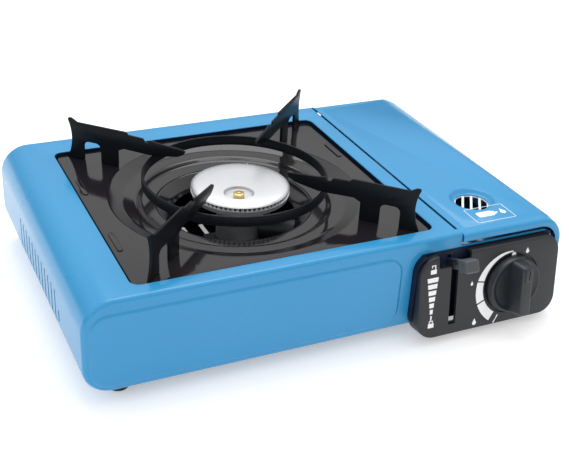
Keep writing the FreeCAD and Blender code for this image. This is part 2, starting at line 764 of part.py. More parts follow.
def carriage_guides():
    """Shouldered rivets on the partition that the carriage slides along."""
    rivets = []
    x0 = partition_x + partition_sheet
    for y in guide_places():
        stem = rod(Vector(x0, y, 33.0), Vector(carriage_x + carriage_sheet + 0.4, y, 33.0), 1.9)
        shoulder = rod(Vector(x0, y, 33.0), Vector(carriage_x - 0.3, y, 33.0), 4.0)
        head = rod(Vector(carriage_x + carriage_sheet + 0.3, y, 33.0),
                   Vector(carriage_x + carriage_sheet + 1.5, y, 33.0), 3.6)
        rivets.append(stem.fuse(shoulder).fuse(head))
    return Part.makeCompound(rivets)


def drip_tray():
    """Enamelled tray: a flat rim with a stepped round bowl and a hole for the burner."""
    margin = -tray_gap
    rim = plate(*well_box(margin), tray_z - tray_sheet, tray_z, opening_round - tray_gap)
    lip_low = body_top - opening_drop + sheet + rest_gap
    skirt = plate(*well_box(margin), lip_low, tray_z - tray_sheet / 2, opening_round - tray_gap)
    skirt = skirt.cut(plate(*well_box(margin - tray_sheet), lip_low - 1, tray_z, opening_round - tray_gap - 0.6))
    bowl_top = [(bowl_radius, 0.0)] + list(bowl_steps)
    last_r, last_drop = bowl_steps[-1]
    upper = [(r, tray_z - drop) for r, drop in bowl_top] + [(tray_hole_radius, tray_z - last_drop - 3)]
    lower = [(r, z - tray_sheet) for r, z in upper]
    profile = [(bowl_radius + 3, tray_z)] + upper + lower[::-1] + [(bowl_radius + 3, tray_z - tray_sheet)]
    bowl = revolve(profile, well_x, well_y)
    tray = rim.cut(disc(well_x, well_y, 0, 200, bowl_radius + 1)).fuse(skirt).fuse(bowl)
    ribs = []
    for sx, sy in ((-1, 1), (1, 1), (1, -1), (-1, -1)):
        x = well_x + sx * (arm_reach * math.sqrt(0.5) + 4.5)
        y = well_y + sy * 44.0
        ribs.append(box(x - rib_width / 2, x + rib_width / 2, y - rib_length / 2, y + rib_length / 2,
                        tray_z - tray_sheet / 2, tray_z + rib_height))
    return tray.fuse(Part.makeCompound(ribs)).removeSplitter()


def burner_base():
    """Cast burner bowl with its mixing chamber."""
    low = burner_top - cap_height
    top_r = burner_radius - 1.0
    outer = [(0, chamber_bottom), (chamber_radius, chamber_bottom), (chamber_radius, low - 13), (30, low - 7),
             (top_r, low - 3), (top_r, low)]
    inner = [(top_r - 4, low), (top_r - 4, low - 2), (28, low - 4.6), (chamber_radius - 2, low - 10.6),
             (chamber_radius - 2, chamber_bottom + 2), (0, chamber_bottom + 2)]
    bowl = revolve(outer + inner, burner_x, burner_y)
    near, far = tube_ends()
    direction = far.sub(near)
    direction.normalize()
    return bowl.cut(rod(far - direction, far + direction * chamber_radius, tube_radius - tube_wall))


def burner_cap():
    """Pressed cap with a ring of flame ports under its rim."""
    low = burner_top - cap_height
    r = burner_radius
    outer = [(0, burner_top), (r - 14, burner_top - 0.2), (r - 3.5, burner_top - 0.9), (r - 0.8, burner_top - 1.8),
             (r, burner_top - 2.8), (r - 0.9, burner_top - 3.2), (r - 1.2, low + 1.2), (r, low + 0.8), (r, low)]
    inner = [(r - 4.5, low), (r - 4.5, burner_top - 3.2), (0, burner_top - 2.2)]
    cap = revolve(outer + inner, burner_x, burner_y)
    ports = []
    for index in range(port_count):
        slot = box(r - 7, r + 2, -port_width / 2, port_width / 2, low + 1.1, low + 1.1 + port_height)
        slot.rotate(Vector(0, 0, 0), Vector(0, 0, 1), index * 360.0 / port_count)
        slot.translate(Vector(burner_x, burner_y, 0))
        ports.append(slot)
    cap = cap.cut(Part.makeCompound(ports))
    x, y = pocket_centre()
    cap = cap.cut(disc(x, y, burner_top - 4, burner_top + 1, cap_pocket_radius))
    well = disc(x, y, burner_top - 4.2, burner_top - 0.3, cap_pocket_radius + 0.8)
    well = well.cut(disc(x, y, burner_top - 3.4, burner_top + 1, cap_pocket_radius))
    well = well.cut(disc(x, y, burner_top - 5, burner_top + 1, 2.0))
    return cap.fuse(well)


def pocket_centre():
    angle = math.radians(cap_pocket_angle)
    return burner_x + cap_pocket_offset * math.cos(angle), burner_y + cap_pocket_offset * math.sin(angle)


def burner_nut():
    x, y = pocket_centre()
    floor = burner_top - 3.4
    points = [Vector(x + 4.6 * math.cos(math.radians(a)), y + 4.6 * math.sin(math.radians(a)), floor)
              for a in range(15, 375, 60)]
    nut = outline(points).extrude(Vector(0, 0, 3.0))
    stem = disc(x, y, floor - 4.0, floor + 3.8, 1.9)
    return nut.fuse(stem)


def burner_bracket():
    """Bent strip that carries the burner on the bottom plate."""
    z0 = rim_height + sheet + floor_sheet
    strip = box(burner_x - 26, burner_x + 26, burner_y - 9, burner_y + 9, z0, chamber_bottom)
    strip = strip.cut(box(burner_x - 24.5, burner_x + 24.5, burner_y - 10, burner_y + 10, z0 - 1, chamber_bottom - 1.5))
    for side in (-1, 1):
        x = burner_x + side * 30
        strip = strip.fuse(box(x - 5.5, x + 5.5, burner_y - 9, burner_y + 9, z0, z0 + 1.5))
    near, far = tube_ends()
    return strip.cut(rod(near, far, tube_radius + 0.5))


def electrode_place():
    angle = math.radians(60.0)
    return burner_x + electrode_reach * math.cos(angle), burner_y + electrode_reach * math.sin(angle)


def electrode_insulator():
    x, y = electrode_place()
    return disc(x, y, 46.0, 72.0, 2.6).fuse(disc(x, y, 51.0, 54.0, 4.0))


def electrode_pin():
    x, y = electrode_place()
    rise = disc(x, y, 72.0, 81.5, 0.9)
    target = Vector(burner_x, burner_y, 81.0) - Vector(x, y, 81.0)
    target.normalize()
    tip = rod(Vector(x, y, 81.0), Vector(x, y, 81.0) + target * 3.0, 0.7)
    return rise.fuse(tip)


def electrode_clip():
    """Small bracket that ties the insulator to the burner's chamber."""
    x, y = electrode_place()
    angle = math.degrees(math.atan2(y - burner_y, x - burner_x))
    bar = box(chamber_radius, 47.5, -4, 4, 49.5, 51.0)
    bar.rotate(Vector(0, 0, 0), Vector(0, 0, 1), angle)
    bar.translate(Vector(burner_x, burner_y, 0))
    return bar.cut(disc(x, y, 40, 80, 2.6))


def igniter_place():
    return knob_x - igniter_offset, front + sheet + igniter_radius + 0.3


def piezo_igniter():
    """Clicker unit standing on the cradle shelf beside the spindle."""
    x, y = igniter_place()
    top = knob_z - igniter_drop
    unit = disc(x, y, cradle_flat_z, top, igniter_radius)
    bore_low = top - plunger_inside - plunger_travel - 0.6
    return unit.cut(disc(x, y, bore_low, top + 1, plunger_radius + running_gap))


def piezo_plunger():
    x, y = igniter_place()
    top = knob_z - igniter_drop
    return disc(x, y, top - plunger_inside, top + plunger_travel + 0.2, plunger_radius)


def lead_points():
    """Hand-placed route of the ignition lead from the clicker to the electrode."""
    x, y = igniter_place()
    z = cradle_flat_z + 5.5
    ex, ey = electrode_place()
    return [Vector(x - 5, y + 2.2, z), Vector(x - 5, front + 34.0, z), Vector(partition_x + 18.6, front + 58.0, z),
            Vector(partition_x - 12, front + 76.0, z), Vector(well_x + 72.5, front + 96.0, z - 2),
            Vector(well_x + 42.5, well_y + 14, z - 2), Vector(ex + 4, ey - 8, z + 1), Vector(ex, ey, 33.0),
            Vector(ex, ey, 46.0)]


def grommet_axis():
    """Where the lead passes the partition: a short axis through the sheet."""
    before, after = lead_points()[2:4]
    share = (before.x - partition_x) / (before.x - after.x)
    y = before.y + (after.y - before.y) * share
    return Vector(partition_x - 1.2, y, before.z), Vector(partition_x + partition_sheet + 1.2, y, before.z)


def lead_grommet():
    """Rubber bush that guards the lead where it passes the partition."""
    start, end = grommet_axis()
    bush = rod(start, end, grommet_radius + 1.0)
    neck = rod(start + Vector(1.2, 0, 0), end - Vector(1.2, 0, 0), grommet_radius + 2.0)
    neck = neck.cut(rod(start, end, grommet_radius - 0.8))
    bush = bush.cut(neck)
    before, after = lead_points()[2:4]
    return bush.cut(rod(before, after, lead_radius + 0.05))


def igniter_terminal():
    """Side terminal where the lead leaves the clicker."""
    x, y = igniter_place()
    z = cradle_flat_z + 5.5
    block = box(x - 7.0, x - 2.0, y - 2.2, y + 2.2, z - 2.4, z + 2.4)
    return block.cut(disc(x, y, z - 5, z + 5, igniter_radius))


def tangent_path(points, radius_share):
    """Straight runs joined by tangent arcs as large as the runs allow."""
    edges = []
    last = points[0]
    for index in range(1, len(points) - 1):
        corner = points[index]
        back_run = points[index - 1].sub(corner)
        next_run = points[index + 1].sub(corner)
        turn = math.pi - back_run.getAngle(next_run)
        reach = radius_share * min(back_run.Length, next_run.Length)
        radius = reach / math.tan(turn / 2)
        back_run.normalize()
        next_run.normalize()
        start = corner + back_run * reach
        end = corner + next_run * reach
        bisector = back_run + next_run
        bisector.normalize()
        centre_distance = radius / math.cos(turn / 2)
        middle = corner + bisector * (centre_distance - radius)
        edges.append(Part.LineSegment(last, start).toShape())
        edges.append(Part.Arc(start, middle, end).toShape())
        last = end
        print("lead bend radius", round(radius, 1))
    edges.append(Part.LineSegment(last, points[-1]).toShape())
    return Part.Wire(edges)


def ignition_lead():
    path = tangent_path(lead_points(), 0.45)
    start = lead_points()[0]
    circle = Part.Wire(Part.makeCircle(lead_radius, start, Vector(0, 1, 0)))
    lead = path.makePipeShell([circle], True, True)
    section = math.pi * lead_radius ** 2
    print("lead volume", round(lead.Volume, 1), "section times length", round(section * path.Length, 1))
    return lead


def pan_ring():
    top = tray_z + ring_top_above_tray
    ring = disc(well_x, well_y, top - ring_height, top, ring_radius)
    return ring.cut(disc(well_x, well_y, top - ring_height - 1, top + 1, ring_radius - ring_sheet))


def arm_outline():
    """Outline of a stamped arm in the plane of the burner's axis, from the outer foot round to the inner leg."""
    foot = tray_z + rest_gap
    top = tray_z + arm_top_above_tray
    horn = tray_z + horn_above_tray
    ring_top = tray_z + ring_top_above_tray
    tip = tray_z + tip_above_tray
    outer_foot = Vector(arm_reach, 0, foot)
    outer_waist = Vector(arm_reach - 4.4, 0, foot + 17.0)
    horn_tip = Vector(arm_reach - 1.4, 0, horn - 1.2)
    edges = [Part.Arc(outer_foot, outer_waist, horn_tip).toShape()]
    leg_inside = arm_reach - leg_width
    leg_outside = foot_inner + leg_width
    crown = foot + leg_gap_height
    points = [(arm_reach - 2.2, horn), (arm_reach - 4.6, horn), (arm_reach - 9.5, top), (91.5, top),
              (89.5, top - 2.0), (77.0, top - 2.4), (75.0, top - 5.2), (72.4, top - 5.2), (70.8, top - 2.8),
              (64.0, top - 3.8), (tip_radius + 2, tip + 1.4), (tip_radius, tip), (tip_radius + 1.5, tip - 2.4),
              (tip_radius + 6, tip - 5.0), (ring_radius - 4, ring_top), (ring_radius + 4, ring_top),
              (foot_inner - 5, ring_top + 0.6), (foot_inner, ring_top - 2.0), (foot_inner, foot), (leg_outside, foot),
              (leg_outside, crown), (leg_inside, crown), (leg_inside, foot)]
    corners = [horn_tip] + [Vector(r, 0, z) for r, z in points] + [outer_foot]
    for start, end in zip(corners, corners[1:]):
        edges.append(Part.LineSegment(start, end).toShape())
    return Part.Face(Part.Wire(edges)), Vector(leg_outside, 0, crown), Vector(leg_inside, 0, crown)


def pan_arm(angle):
    """Stamped arm: two legs outside, a flat pan-bearing edge with a horn, and a finger over the burner."""
    face, gap_left, gap_right = arm_outline()
    blade = face.extrude(Vector(0, arm_sheet, 0))
    crown_edges = [edge for edge in blade.Edges if edge.BoundBox.YLength > arm_sheet / 2
                   and min(edge.CenterOfMass.distanceToPoint(corner + Vector(0, arm_sheet / 2, 0))
                           for corner in (gap_left, gap_right)) < 1e-3]
    blade = blade.makeFillet(leg_gap_round, crown_edges)
    blade.translate(Vector(0, -arm_sheet / 2, 0))
    blade.rotate(Vector(0, 0, 0), Vector(0, 0, 1), angle)
    blade.translate(Vector(well_x, well_y, 0))
    return blade


def rubber_feet():
    feet = []
    for sx in (-1, 1):
        for y in (front + foot_inset_y, back - foot_inset_y):
            x = sx * (half_width - foot_inset_x)
            pad = disc(x, y, 0, rim_height, foot_radius)
            feet.append(pad.makeFillet(2.5, [pad.Edges[0] if pad.Edges[0].BoundBox.ZMax < 1 else pad.Edges[2]]))
    return Part.makeCompound(feet)


def base_screws():
    """Self-tapping screws that hold the bottom plate's supports."""
    screws = []
    z = rim_height + sheet + floor_sheet + 1.5
    for x in (burner_x - 30, burner_x + 30):
        screws.append(disc(x, burner_y, z, z + 1.6, screw_head))
    return Part.makeCompound(screws)


def bracket_screw():
    y = front + regulator_from_front + 11
    return disc(bay_x - 25.5, y, cradle_flat_z + 1.5, cradle_flat_z + 3.3, screw_head)


parts = {
    "body_shell": body_shell(),
    "bottom_plate": bottom_plate(),
    "partition_wall": partition_wall(),
    "cartridge_cradle": cartridge_cradle(),
    "side_rail": side_rail(),
    "control_panel": control_panel(),
    "panel_screws": panel_screws(),
    "rubber_feet": rubber_feet(),
    "base_screws": base_screws(),
    "burner_bracket": burner_bracket(),
    "burner_base": burner_base(),
    "burner_cap": burner_cap(),
    "burner_nut": burner_nut(),
    "mixing_tube": mixing_tube(),
    "gas_pipe": gas_pipe(),
    "gas_jet": gas_jet(),
    "regulator_body": regulator_body(),
    "regulator_cover": regulator_cover(),
    "regulator_bracket": regulator_bracket(),
    "regulator_screw": bracket_screw(),
    "cartridge_collar": cartridge_collar(),
    "collar_seal": collar_seal(),
    "piezo_igniter": piezo_igniter(),
    "piezo_plunger": piezo_plunger(),
    "igniter_terminal": igniter_terminal(),
    "lead_grommet": lead_grommet(),
    "ignition_lead": ignition_lead(),
    "electrode_insulator": electrode_insulator(),
    "electrode_pin": electrode_pin(),
    "electrode_clip": electrode_clip(),
    "lever_pivot_pin": pivot_pin(),
    "carriage_guides": carriage_guides(),
    "lid_rest": lid_rest(),
    "lid_hinge_pin": hinge_pin(),
    "drip_tray": drip_tray(),
    "pan_ring": pan_ring(),
    "pan_arm_front_right": pan_arm(-45),
    "pan_arm_back_right": pan_arm(45),
    "pan_arm_back_left": pan_arm(135),
    "pan_arm_front_left": pan_arm(225),
    "lid_panel": lid_panel(),
    "lid_vent_grille": vent_grille(),
    "knob": knob(),
    "valve_spindle": valve_spindle(),
    "lock_lever": lock_lever(),
    "lever_grip": lever_grip(),
    "lock_carriage": lock_carriage(),
}

os.makedirs("parts", exist_ok=True)
for name, shape in parts.items():
    shape.exportStep(os.path.join("parts", name + ".step"))

print("joint places", "hinge", hinge_x, hinge_z, "pivot", pivot_y, pivot_z, "knob", knob_y, knob_z)
print("front", front, "back", back, "well", well_x, well_y, "travel", carriage_travel())
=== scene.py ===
import bpy
import math
from mathutils import Matrix, Vector


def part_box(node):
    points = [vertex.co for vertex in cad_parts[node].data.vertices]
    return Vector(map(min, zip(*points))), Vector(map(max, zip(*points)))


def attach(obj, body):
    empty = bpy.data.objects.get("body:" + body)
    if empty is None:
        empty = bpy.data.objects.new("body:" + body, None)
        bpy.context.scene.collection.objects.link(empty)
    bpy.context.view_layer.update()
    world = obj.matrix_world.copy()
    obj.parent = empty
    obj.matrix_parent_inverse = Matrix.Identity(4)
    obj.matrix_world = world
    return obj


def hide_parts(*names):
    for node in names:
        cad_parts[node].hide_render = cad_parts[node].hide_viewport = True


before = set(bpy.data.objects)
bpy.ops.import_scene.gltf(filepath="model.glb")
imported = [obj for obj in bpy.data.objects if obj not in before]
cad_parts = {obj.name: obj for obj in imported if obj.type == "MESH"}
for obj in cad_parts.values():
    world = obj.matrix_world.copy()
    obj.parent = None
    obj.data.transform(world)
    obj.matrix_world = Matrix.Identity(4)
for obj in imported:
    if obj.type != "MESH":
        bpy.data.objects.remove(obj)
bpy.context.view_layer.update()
bpy.ops.object.select_all(action="DESELECT")
mm = 0.001

# ---- Where the stove is seen from ----
# A normal lens at table height, a little to the left of the stove, looking down on the deck.
eye = Vector((-306.8, -634.3, 435.2)) * mm
heading, dip, roll = math.radians(26.14), math.radians(29.16), math.radians(3.28)
ahead = Vector((math.sin(heading) * math.cos(dip), math.cos(heading) * math.cos(dip), -math.sin(dip)))
level = ahead.cross(Vector((0, 0, 1))).normalized()
upright = level.cross(ahead)
right_hand = level * math.cos(roll) + upright * math.sin(roll)
overhead = upright * math.cos(roll) - level * math.sin(roll)
bpy.ops.object.camera_add(location=eye)
camera = bpy.context.object
camera.name = "camera"
camera.rotation_euler = Matrix((right_hand, overhead, -ahead)).transposed().to_euler()
camera.data.lens = 65.44
camera.data.sensor_width = 36.0
bpy.context.scene.camera = camera

# ---- Studio ----
# A white table under a white sky that darkens towards the horizon, a large soft lamp above and a small one
# at the left.
bpy.context.scene.view_settings.view_transform = "Standard"
bpy.ops.mesh.primitive_plane_add(size=12.0, location=(0, 0, -0.0004))
table = bpy.context.object
table.name = "table_top"


def soft_lamp(name, place, aim, size, power):
    """A large square lamp turned towards a point."""
    bpy.ops.object.light_add(type="AREA", location=place)
    lamp = bpy.context.object
    lamp.name = name
    lamp.data.size = size
    lamp.data.energy = power
    lamp.rotation_euler = (Vector(aim) - Vector(place)).to_track_quat("-Z", "Y").to_euler()


soft_lamp("lamp_overhead", (0.2, 0.5, 1.7), (0, 0, 0.05), 1.2, 13.0)
soft_lamp("lamp_left", (-1.5, -0.9, 0.9), (0, 0, 0.05), 0.9, 1.8)


# ---- Finishes: how they are mixed ----
# Every finish is one glossy or dull coat whose colour, gloss and grain change a little over the surface.
class Flow:
    """A value that runs through a finish; it adds and multiplies like a number."""

    def __init__(self, finish, socket):
        self.finish = finish
        self.socket = socket

    def worked(self, operation, first, second):
        return self.finish.node("ShaderNodeMath", {"operation": operation}, {0: first, 1: second})

    def __add__(self, other):
        return self.worked("ADD", self, other)

    def __sub__(self, other):
        return self.worked("SUBTRACT", self, other)

    def __rsub__(self, other):
        return self.worked("SUBTRACT", other, self)

    def __mul__(self, other):
        return self.worked("MULTIPLY", self, other)

    def __truediv__(self, other):
        return self.worked("DIVIDE", self, other)

    def above(self, edge):
        return self.worked("GREATER_THAN", self, edge)

    __radd__ = __add__
    __rmul__ = __mul__


class NodeTree:
    """Nodes that are added and linked in one call."""

    def __init__(self, tree):
        self.tree = tree

    def node(self, kind, settings, feeds, output=0):
        made = self.tree.nodes.new(kind)
        for label, value in settings.items():
            setattr(made, label, value)
        for label, value in feeds.items():
            if isinstance(value, Flow):
                self.tree.links.new(value.socket, made.inputs[label])
            else:
                made.inputs[label].default_value = value
        return Flow(self, made.outputs[output])


class Finish(NodeTree):
    """A material with one Principled shader."""

    def __init__(self, name, **fixed):
        self.material = bpy.data.materials.new(name)
        self.material.use_nodes = True
        self.tree = self.material.node_tree
        self.shader = self.tree.nodes["Principled BSDF"]
        for label, value in fixed.items():
            self.shader.inputs[label.replace("_", " ").title().replace("Ior", "IOR")].default_value = value
        self.place = self.node("ShaderNodeTexCoord", {}, {}, "Object")

    def noise(self, scale, detail=3.0, stretch=(1, 1, 1)):
        turned = self.node("ShaderNodeMapping", {}, {"Vector": self.place, "Scale": stretch})
        return self.node("ShaderNodeTexNoise", {}, {"Vector": turned, "Scale": scale, "Detail": detail})

    def blend(self, share, first, second):
        mixed = self.node("ShaderNodeMix", {"data_type": "RGBA"}, {0: share, 6: first, 7: second}, 2)
        return mixed

    def coat(self, colour=None, roughness=None, height=None, depth=0.0001, metallic=None):
        if colour is not None:
            self.tree.links.new(colour.socket, self.shader.inputs["Base Color"])
        if roughness is not None:
            self.tree.links.new(roughness.socket, self.shader.inputs["Roughness"])
        if metallic is not None:
            self.tree.links.new(metallic.socket, self.shader.inputs["Metallic"])
        if height is not None:
            bump = self.node("ShaderNodeBump", {}, {"Strength": 1.0, "Distance": depth, "Height": height},
                             "Normal")
            self.tree.links.new(bump.socket, self.shader.inputs["Normal"])
        return self.material


def plain_table():
    finish = Finish("white_table", specular_ior_level=0.1, emission_strength=0.36,
                    emission_color=(1, 1, 1, 1))
    tone = finish.blend(finish.noise(3.0), (0.80, 0.80, 0.805, 1), (0.84, 0.84, 0.845, 1))
    return finish.coat(tone, finish.noise(5.0) * 0.1 + 0.55)


table.data.materials.append(plain_table())
surround = bpy.data.worlds.new("white_surround")
bpy.context.scene.world = surround
surround.use_nodes = True
sky = NodeTree(surround.node_tree)
way = sky.node("ShaderNodeTexCoord", {}, {}, "Generated")
height = sky.node("ShaderNodeSeparateXYZ", {}, {"Vector": way}, "Z")
glow = sky.node("ShaderNodeMapRange", {"interpolation_type": "SMOOTHSTEP"},
                {"Value": height, "From Min": 0.02, "From Max": 0.62, "To Min": 0.22, "To Max": 1.05})
background = surround.node_tree.nodes["Background"]
background.inputs["Color"].default_value = (1.0, 1.0, 1.0, 1.0)
surround.node_tree.links.new(glow.socket, background.inputs["Strength"])


# ---- Blue case ----
# Two deep pressings of steel sheet in glossy blue stove enamel: the case with the deck opening, and the lid.
# The case has broad rounded upper and lower edges on the left, a raised field on its front and air slots.
def blue_enamel():
    finish = Finish("blue_enamel", coat_weight=0.15, coat_roughness=0.06, coat_ior=1.5,
                    specular_ior_level=0.42)
    cloud = finish.noise(9.0, 2.0)
    fleck = finish.noise(900.0, 2.0)
    tone = finish.blend(cloud, (0.024, 0.268, 0.545, 1), (0.031, 0.300, 0.590, 1))
    dusted = finish.blend(fleck.above(0.74) * 0.12, tone, (0.35, 0.62, 0.85, 1))
    peel = finish.noise(420.0, 2.0)
    return finish.coat(dusted, cloud * 0.10 + 0.22, peel, 0.00002)


paint = blue_enamel()
lid_low, lid_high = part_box("lid_panel")
case_low, case_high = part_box("body_shell")
lip_ahead = 1.6 * mm
front, back = lid_low.y + lip_ahead, case_high.y
left, seam = case_low.x, lid_low.x - 0.5 * mm
rim, top = case_low.z, case_high.z
right = lid_high.x
sheet = 1.0 * mm
near = 0.05 * mm


def block(name, low, high):
    """A box from one corner to the other, left active in object mode."""
    low, high = Vector(low), Vector(high)
    bpy.ops.object.select_all(action="DESELECT")
    bpy.ops.mesh.primitive_cube_add(size=1.0, location=(low + high) / 2, scale=high - low)
    piece = bpy.context.object
    piece.name = name
    bpy.ops.object.transform_apply(location=True, rotation=True, scale=True)
    return piece


def drum(name, start, end, radius, sides=64):
    """A round bar between two points."""
    start, end = Vector(start), Vector(end)
    bpy.ops.object.select_all(action="DESELECT")
    turn = (end - start).to_track_quat("Z", "Y").to_euler()
    bpy.ops.mesh.primitive_cylinder_add(vertices=sides, radius=radius, depth=(end - start).length,
                                        location=(start + end) / 2, rotation=turn)
    piece = bpy.context.object
    piece.name = name
    bpy.ops.object.transform_apply(location=True, rotation=True, scale=True)
    return piece


def active(piece):
    bpy.ops.object.select_all(action="DESELECT")
    piece.select_set(True)
    bpy.context.view_layer.objects.active = piece


def choose(piece, kind, wanted):
    """Goes to edit mode with the faces or edges selected whose middle and direction are wanted."""
    active(piece)
    bpy.ops.object.mode_set(mode="EDIT")
    bpy.ops.mesh.select_mode(type=kind)
    bpy.ops.mesh.select_all(action="DESELECT")
    bpy.ops.object.mode_set(mode="OBJECT")
    mesh = piece.data
    if kind == "FACE":
        for face in mesh.polygons:
            face.select = wanted(face.center, face.normal)
    elif kind == "EDGE":
        for edge in mesh.edges:
            a, b = (mesh.vertices[end].co for end in edge.vertices)
            edge.select = wanted((a + b) / 2, b - a)
    else:
        for point in mesh.vertices:
            point.select = wanted(point.co, point.normal)
    bpy.ops.object.mode_set(mode="EDIT")


def done():
    bpy.ops.object.mode_set(mode="OBJECT")


def round_edges(piece, wanted, radius, segments):
    choose(piece, "EDGE", wanted)
    bpy.ops.mesh.bevel(offset=radius, segments=segments, affect="EDGES", clamp_overlap=False)
    done()


def remove_faces(piece, wanted):
    choose(piece, "FACE", wanted)
    bpy.ops.mesh.delete(type="FACE")
    done()


def modify(piece, kind, **settings):
    active(piece)
    modifier = piece.modifiers.new(kind.lower(), kind)
    for label, value in settings.items():
        setattr(modifier, label, value)
    bpy.ops.object.modifier_apply(modifier=modifier.name)


def cut(piece, *cutters):
    for cutter in cutters:
        modify(piece, "BOOLEAN", operation="DIFFERENCE", solver="EXACT", object=cutter)
        bpy.data.objects.remove(cutter)


def join(piece, *others):
    active(piece)
    for other in others:
        other.select_set(True)
    bpy.ops.object.join()
    return piece


def fit(piece, body, slot, material, *nodes, angle=35.0):
    """Smooths a finished piece and hangs it on its body in place of the plain nodes."""
    active(piece)
    bpy.ops.object.shade_smooth_by_angle(angle=math.radians(angle))
    piece.data.materials.clear()
    piece.data.materials.append(material)
    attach(piece, body)
    if nodes:
        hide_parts(*nodes)


def along_y(way):
    return abs(way.y) > 10 * (abs(way.x) + abs(way.z))


def end_outline(middle, way, y_values, open_x):
    at_end = any(abs(middle.y - y) < near for y in y_values) and abs(way.y) < near
    return at_end and abs(middle.x - open_x) > near


def rounded_block(name, low, high, radius, axis=2, segments=8):
    """A box whose four edges along one axis are rounded."""
    piece = block(name, low, high)
    others = [index for index in range(3) if index != axis]
    round_edges(piece, lambda m, w: all(abs(w[index]) < near for index in others), radius, segments)
    return piece


case = block("blue_case", (left, front, rim), (seam, back, top))
round_edges(case, lambda m, w: along_y(w) and m.x < left + near and m.z > 0.06, 22 * mm, 18)
round_edges(case, lambda m, w: along_y(w) and m.x < left + near and m.z < 0.03, 20 * mm, 16)
round_edges(case, lambda m, w: end_outline(m, w, (front, back), seam), 3 * mm, 5)
remove_faces(case, lambda m, n: m.x > seam - near)
choose(case, "FACE", lambda m, n: n.z < -0.99 and m.z < rim + near)
bpy.ops.mesh.inset(thickness=9 * mm, depth=0, use_boundary=False)
bpy.ops.mesh.delete(type="FACE")
done()
modify(case, "SOLIDIFY", thickness=sheet, offset=-1.0, use_rim=True)

tray_low, tray_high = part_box("drip_tray")
tray_gap = 1.4 * mm
well_low = Vector((tray_low.x - tray_gap, tray_low.y - tray_gap, top - 5.6 * mm))
well_high = Vector((tray_high.x + tray_gap, tray_high.y + tray_gap, top))
opening = rounded_block("opening", well_low, well_high + Vector((0, 0, 0.01)), 7 * mm)
cut(case, opening)
strip_right = seam + 0.01
joggle_width = 2.6 * mm
joggle = block("joggle", (seam - joggle_width, front + 7 * mm, top - 4 * mm),
               (strip_right, back - 3 * mm, top + 0.01))
cut(case, joggle)
round_edges(case, lambda m, w: abs(m.z - top) < near and abs(w.z) < near
            and well_low.x - near < m.x < well_high.x + near and well_low.y - near < m.y < well_high.y + near,
            0.8 * mm, 3)

slots = []
slot_pitch = 9.7 * mm
well_y = (well_low.y + well_high.y) / 2
well_x = (well_low.x + well_high.x) / 2
for index in range(13):
    slot_y = well_y + 59.5 * mm - index * slot_pitch
    slot_top = (52 if index < 12 else 41) * mm
    slot_low = slot_top - (26 if index < 12 else 9) * mm
    slots.append(block("slot", (left - 0.01, slot_y - 1.2 * mm, slot_low),
                       (left + 0.003, slot_y + 1.2 * mm, slot_top)))
cut(case, join(*slots))

skirt = rounded_block("skirt", well_low, well_high - Vector((0, 0, 0.7 * mm)), 7 * mm)
remove_faces(skirt, lambda m, n: n.z > 0.9)
choose(skirt, "FACE", lambda m, n: n.z < -0.9)
bpy.ops.mesh.inset(thickness=5 * mm, depth=0)
bpy.ops.mesh.delete(type="FACE")
done()
modify(skirt, "SOLIDIFY", thickness=sheet * 0.8, offset=1.0)

field_low = Vector((left + 4 * mm, front - 0.05 * mm, rim + 4.2 * mm))
field_high = Vector((46.5 * mm, front + 0.6 * mm, top - 9.6 * mm))
field = rounded_block("front_field", field_low, field_high, 13.5 * mm, axis=1, segments=12)
choose(field, "FACE", lambda m, n: n.y < -0.9)
for step_in, step_out in ((0.5, 0.10), (0.45, 0.32), (0.45, 0.34), (0.5, 0.14), (0.7, 0.04)):
    bpy.ops.mesh.inset(thickness=step_in * mm, depth=step_out * mm)
done()

ledge = block("joggle_floor", (seam - joggle_width - 1.2 * mm, front + 6 * mm, top - 4.6 * mm),
              (seam, back - 2 * mm, top - 0.9 * mm))
cut(ledge, block("joggle_room", (seam - joggle_width, front + 6.8 * mm, top - 3.8 * mm),
                 (strip_right, back - 2.8 * mm, top)))
walls = []
for wall_y in (front, back - sheet):
    wall = block("bay_wall", (seam, wall_y, rim), (lid_high.x - 9.5 * mm, wall_y + sheet, top - 10 * mm))
    round_edges(wall, lambda m, w: along_y(w) and m.x > seam + 0.05, 10 * mm, 6)
    walls.append(wall)

panel_low, panel_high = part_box("control_panel")
collar_out, collar_wall, collar_deep = 0.5 * mm, 1.0 * mm, 5.0 * mm
collar = rounded_block("panel_collar", (panel_low.x - collar_out - collar_wall, front - collar_deep,
                                        panel_low.z + 1.0 * mm),
                       (panel_high.x, front + 0.3 * mm, panel_high.z + 0.5 * mm), 15 * mm, axis=1,
                       segments=12)
hollow = rounded_block("collar_hollow", (panel_low.x - collar_out, front - 0.02, panel_low.z - 5 * mm),
                       (panel_high.x + 0.02, front + 0.01, panel_high.z - 0.5 * mm), 14 * mm, axis=1,
                       segments=12)
cut(collar, hollow, block("collar_end", (panel_low.x + 6 * mm, front - 0.02, 0),
                          (right + 0.01, front + 0.01, 0.1)))

lever_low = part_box("lock_lever")[0]
knob_low, knob_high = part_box("knob")
knob_x = (knob_low.x + knob_high.x) / 2
spindle_z = 36.5 * mm


def front_holes():
    """Cutters for the lever's slot and the spindle's hole in whatever stands at the case's front."""
    lever_slot = block("lever_slot", (lever_low.x - 0.9 * mm, front - 0.003, 25 * mm),
                       (lever_low.x + 4.9 * mm, front + 0.003, 67 * mm))
    spindle_hole = drum("spindle_hole", (knob_x, front - 0.02, spindle_z), (knob_x, front + 0.01, spindle_z), 9 * mm)
    return lever_slot, spindle_hole


holes = front_holes()
join(case, walls[0], walls[1])
cut(case, *holes)
join(case, field)
fit(case, "body", "blue_paint", paint, "body_shell")

